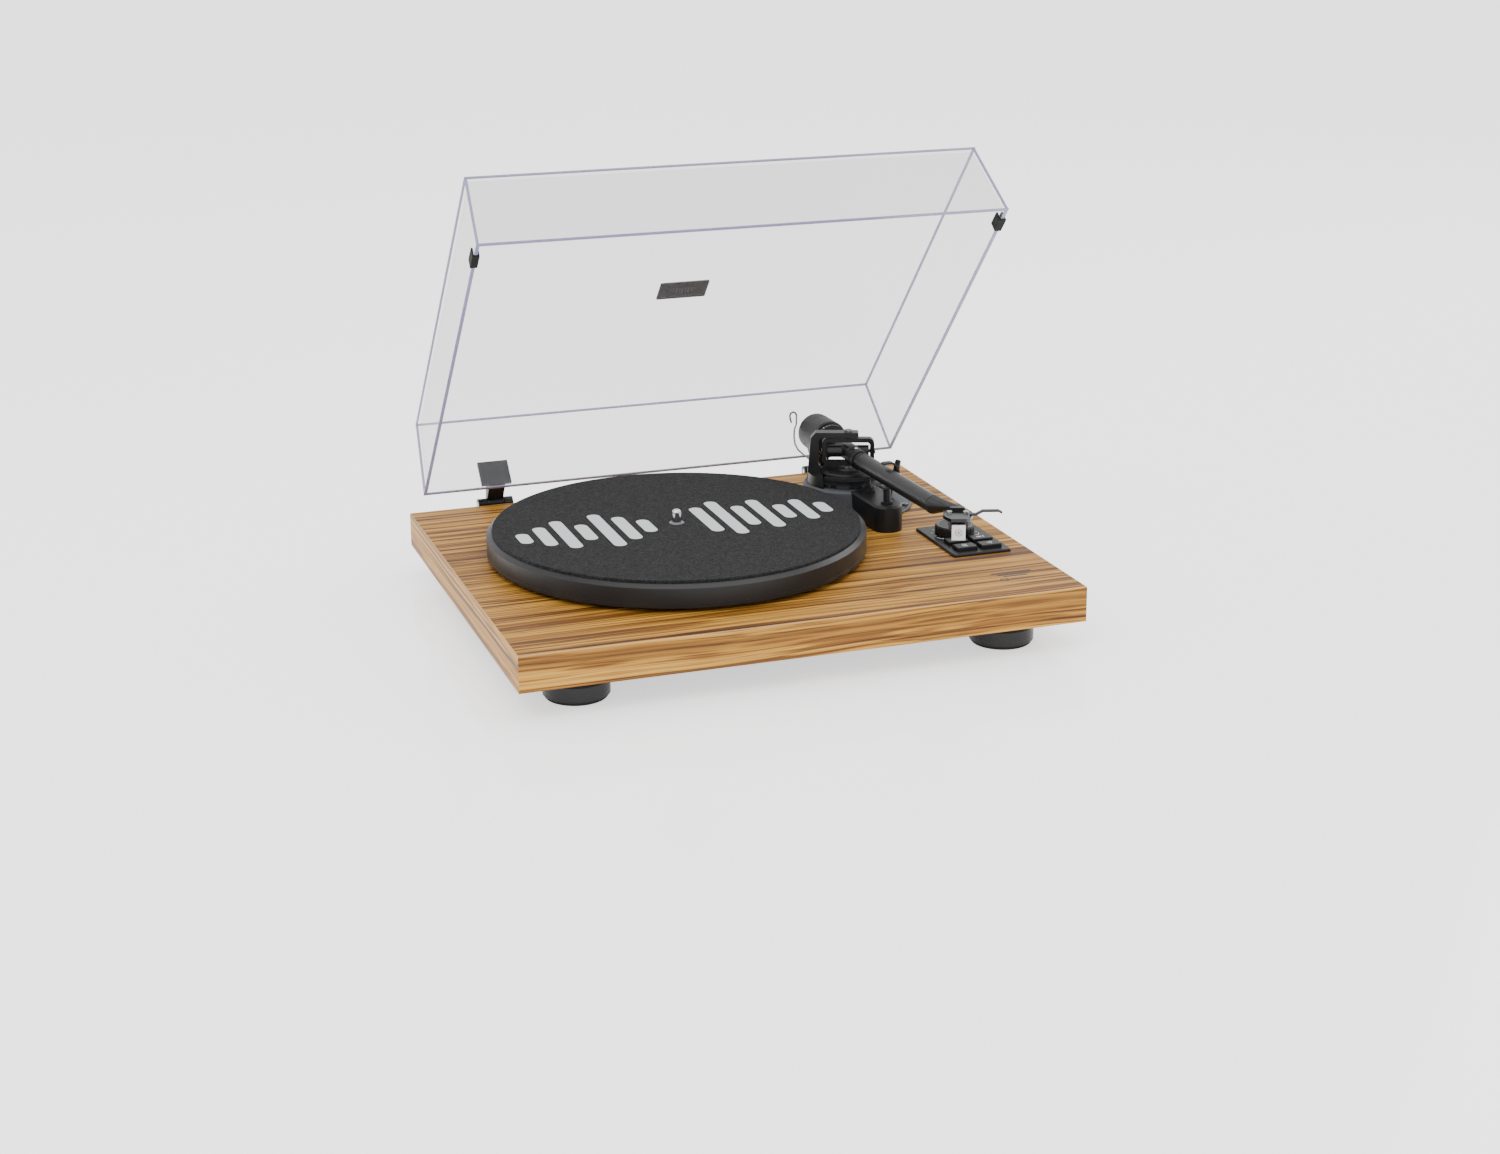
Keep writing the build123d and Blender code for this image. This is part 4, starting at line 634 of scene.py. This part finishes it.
# marks round the turret, and a lip near the base disc's rim
turret_origin = Vector((PIVOT.x, PIVOT.y, hi("arm_turret").z - SINK))
ring = []
for k in range(13):
    a = radians(-60 + k * 10)
    outward = ALONG * cos(a) + RIGHT * sin(a)
    outline = rectangle(21.2, 0, 2.2 if k % 3 == 0 else 1.3, 0.35)
    ring.append(slab(outline, turret_origin, outward, UP.cross(outward), UP, INK_THICK))
piece("turret_marks", *joined(ring), "disc", "chassis", "black_plastic")
lip_origin = Vector((PIVOT.x, PIVOT.y, TOP + 0.00238))
disc_lip = slab(arc_band(0, 0, 51.6, 0.7, 16, 344, 80), lip_origin, ALONG, RIGHT, UP, 0.12)
piece("disc_lip", *disc_lip, "plastic", "chassis", "black_plastic")

# ------------------------------------------------------------------ platter, feet and rear
rim_origin = Vector((SPINDLE.x, SPINDLE.y, lo("platter").z))
groove = turned([(151.0, 3.0), (151.12, 3.1), (151.12, 3.5), (151.0, 3.6)], rim_origin, UP, 160)
piece("platter_groove", *groove, "gloss", "platter", "black_metal", True)
collar = turned([(3.62, 0), (6.2, 0), (6.0, 0.25), (3.62, 0.3)], mat_origin, UP, 40)
piece("spindle_collar", *collar, "dark_steel", "platter", "chrome", True)
for node_name in ("foot_front_left", "foot_rear_left", "foot_front_right", "foot_rear_right"):
    base = mid(node_name)
    base.z = lo(node_name).z
    band = turned([(24.95, 3), (25.06, 3.2), (25.06, 3.8), (24.95, 4)], base, UP, 64)
    piece(node_name + "_band", *band, "gloss", "chassis", "black_plastic", True)

# rings round the phono sockets, and lines in place of the rear wording
JACK_R = 0.0054
JACK_PITCH = 0.016
PANEL_LIP = 0.0012
jack_z = mid("rca_jacks").z
for i, look_name in enumerate(("cream", "red", "cream", "red")):
    x = lo("rca_jacks").x + JACK_R + JACK_PITCH * i
    at = Vector((x, hi("rear_panel").y - PANEL_LIP, jack_z))
    jack_ring = turned([(5.5, 0), (6.6, 0), (6.6, 0.3), (5.5, 0.3)], at, Y, 32)
    piece("jack_ring_%d" % i, *jack_ring, look_name, "chassis", "black_plastic", True)
panel_face = Vector((mid("rear_panel").x, hi("rear_panel").y - PANEL_LIP - SINK, jack_z))
labels = [slab(rectangle(-x, y, w, 0.6), panel_face, -X, UP, Y, INK_THICK)
          for x, y, w in ((-40, 9, 20), (-8, 9, 20), (22, 9, 9), (43, 9, 7), (43, -9, 3))]
piece("rear_labels", *joined(labels), "mark", "chassis", "black_plastic")
plate = Vector((-0.06, hi("plinth").y - SINK, TOP - 0.014))
piece("rating_plate", *slab(rectangle(0, 0, 56, 16), plate, -X, UP, Y, 0.1), "alloy", "chassis", "alloy")
rows = [slab(rectangle(-4, 5 - 2.4 * i, 40 - 5 * (i % 3), 0.7), plate + Y * 0.0001, -X, UP, Y, 0.04)
        for i in range(5)]
piece("rating_lines", *joined(rows), "ink", "chassis", "alloy")

# ------------------------------------------------------------------ floor, light, camera
floor_mesh = bpy.data.meshes.new("floor")
floor_mesh.from_pydata([(-9, -7, 0), (9, -7, 0), (9, 9, 0), (-9, 9, 0)], [], [(0, 1, 2, 3)])
floor = bpy.data.objects.new("floor", floor_mesh)
bpy.context.scene.collection.objects.link(floor)
floor_look = Look("floor", (0.95, 0.95, 0.96), 0.14, spec=0.6)
floor_look.set("Emission Color", (1, 1, 1, 1))
floor_look.set("Emission Strength", 1.05)
floor_look.rough(floor_look.noise(floor_look.mapped((1, 1, 1)), 2, 2), 0.1, 0.15)
floor_mesh.materials.append(floor_look.mat)

world = bpy.data.worlds.new("studio")
bpy.context.scene.world = world
world.use_nodes = True
world.node_tree.nodes["Background"].inputs["Color"].default_value = (1, 1, 1, 1)
world.node_tree.nodes["Background"].inputs["Strength"].default_value = 1.4
LAMP_AIM = Vector((0, 0, 0.1))


def lamp(name, at, size, power):
    """A soft rectangular lamp that faces the deck."""
    data = bpy.data.lights.new(name, "AREA")
    data.shape = "RECTANGLE"
    data.size, data.size_y = size
    data.energy = power
    obj = bpy.data.objects.new(name, data)
    bpy.context.scene.collection.objects.link(obj)
    obj.location = at
    obj.rotation_mode = "QUATERNION"
    obj.rotation_quaternion = (Vector(at) - LAMP_AIM).to_track_quat("Z", "Y")


lamp("key", (-1.6, -1.2, 2.3), (1.4, 1.0), 26)
lamp("top", (0.3, 0.3, 2.6), (2.4, 1.6), 24)
lamp("rim", (2.0, 1.0, 1.3), (0.9, 1.2), 10)

# the camera faces a point behind the plinth, and its lens is shifted to frame the deck
AZIMUTH = radians(-19.28)
ELEVATION = radians(15.453)
ROLL = radians(-0.35)
DISTANCE = 2.21893
LOOK_AT = Vector((0.10817, 0.258155 + CENTRE.y, TOP))
SENSOR_MM = 36
LENS_MM = 58.3824
SHIFT_X = -0.0013333
SHIFT_Y = -0.0813333
back = Vector((sin(AZIMUTH) * cos(ELEVATION), -cos(AZIMUTH) * cos(ELEVATION), sin(ELEVATION)))
eye = LOOK_AT + back * DISTANCE
level_right = (-back).cross(UP).normalized()
level_up = level_right.cross(-back)
view_right = level_right * cos(ROLL) + level_up * sin(ROLL)
view_up = -level_right * sin(ROLL) + level_up * cos(ROLL)
camera_data = bpy.data.cameras.new("camera")
camera_data.sensor_width = SENSOR_MM
camera_data.lens = LENS_MM
camera_data.shift_x = SHIFT_X
camera_data.shift_y = SHIFT_Y
camera_data.clip_start = 0.05
camera_data.clip_end = 60
camera = bpy.data.objects.new("camera", camera_data)
bpy.context.scene.collection.objects.link(camera)
turn = Matrix((view_right, view_up, back)).transposed().to_4x4()
camera.matrix_world = Matrix.Translation(eye) @ turn
bpy.context.scene.camera = camera
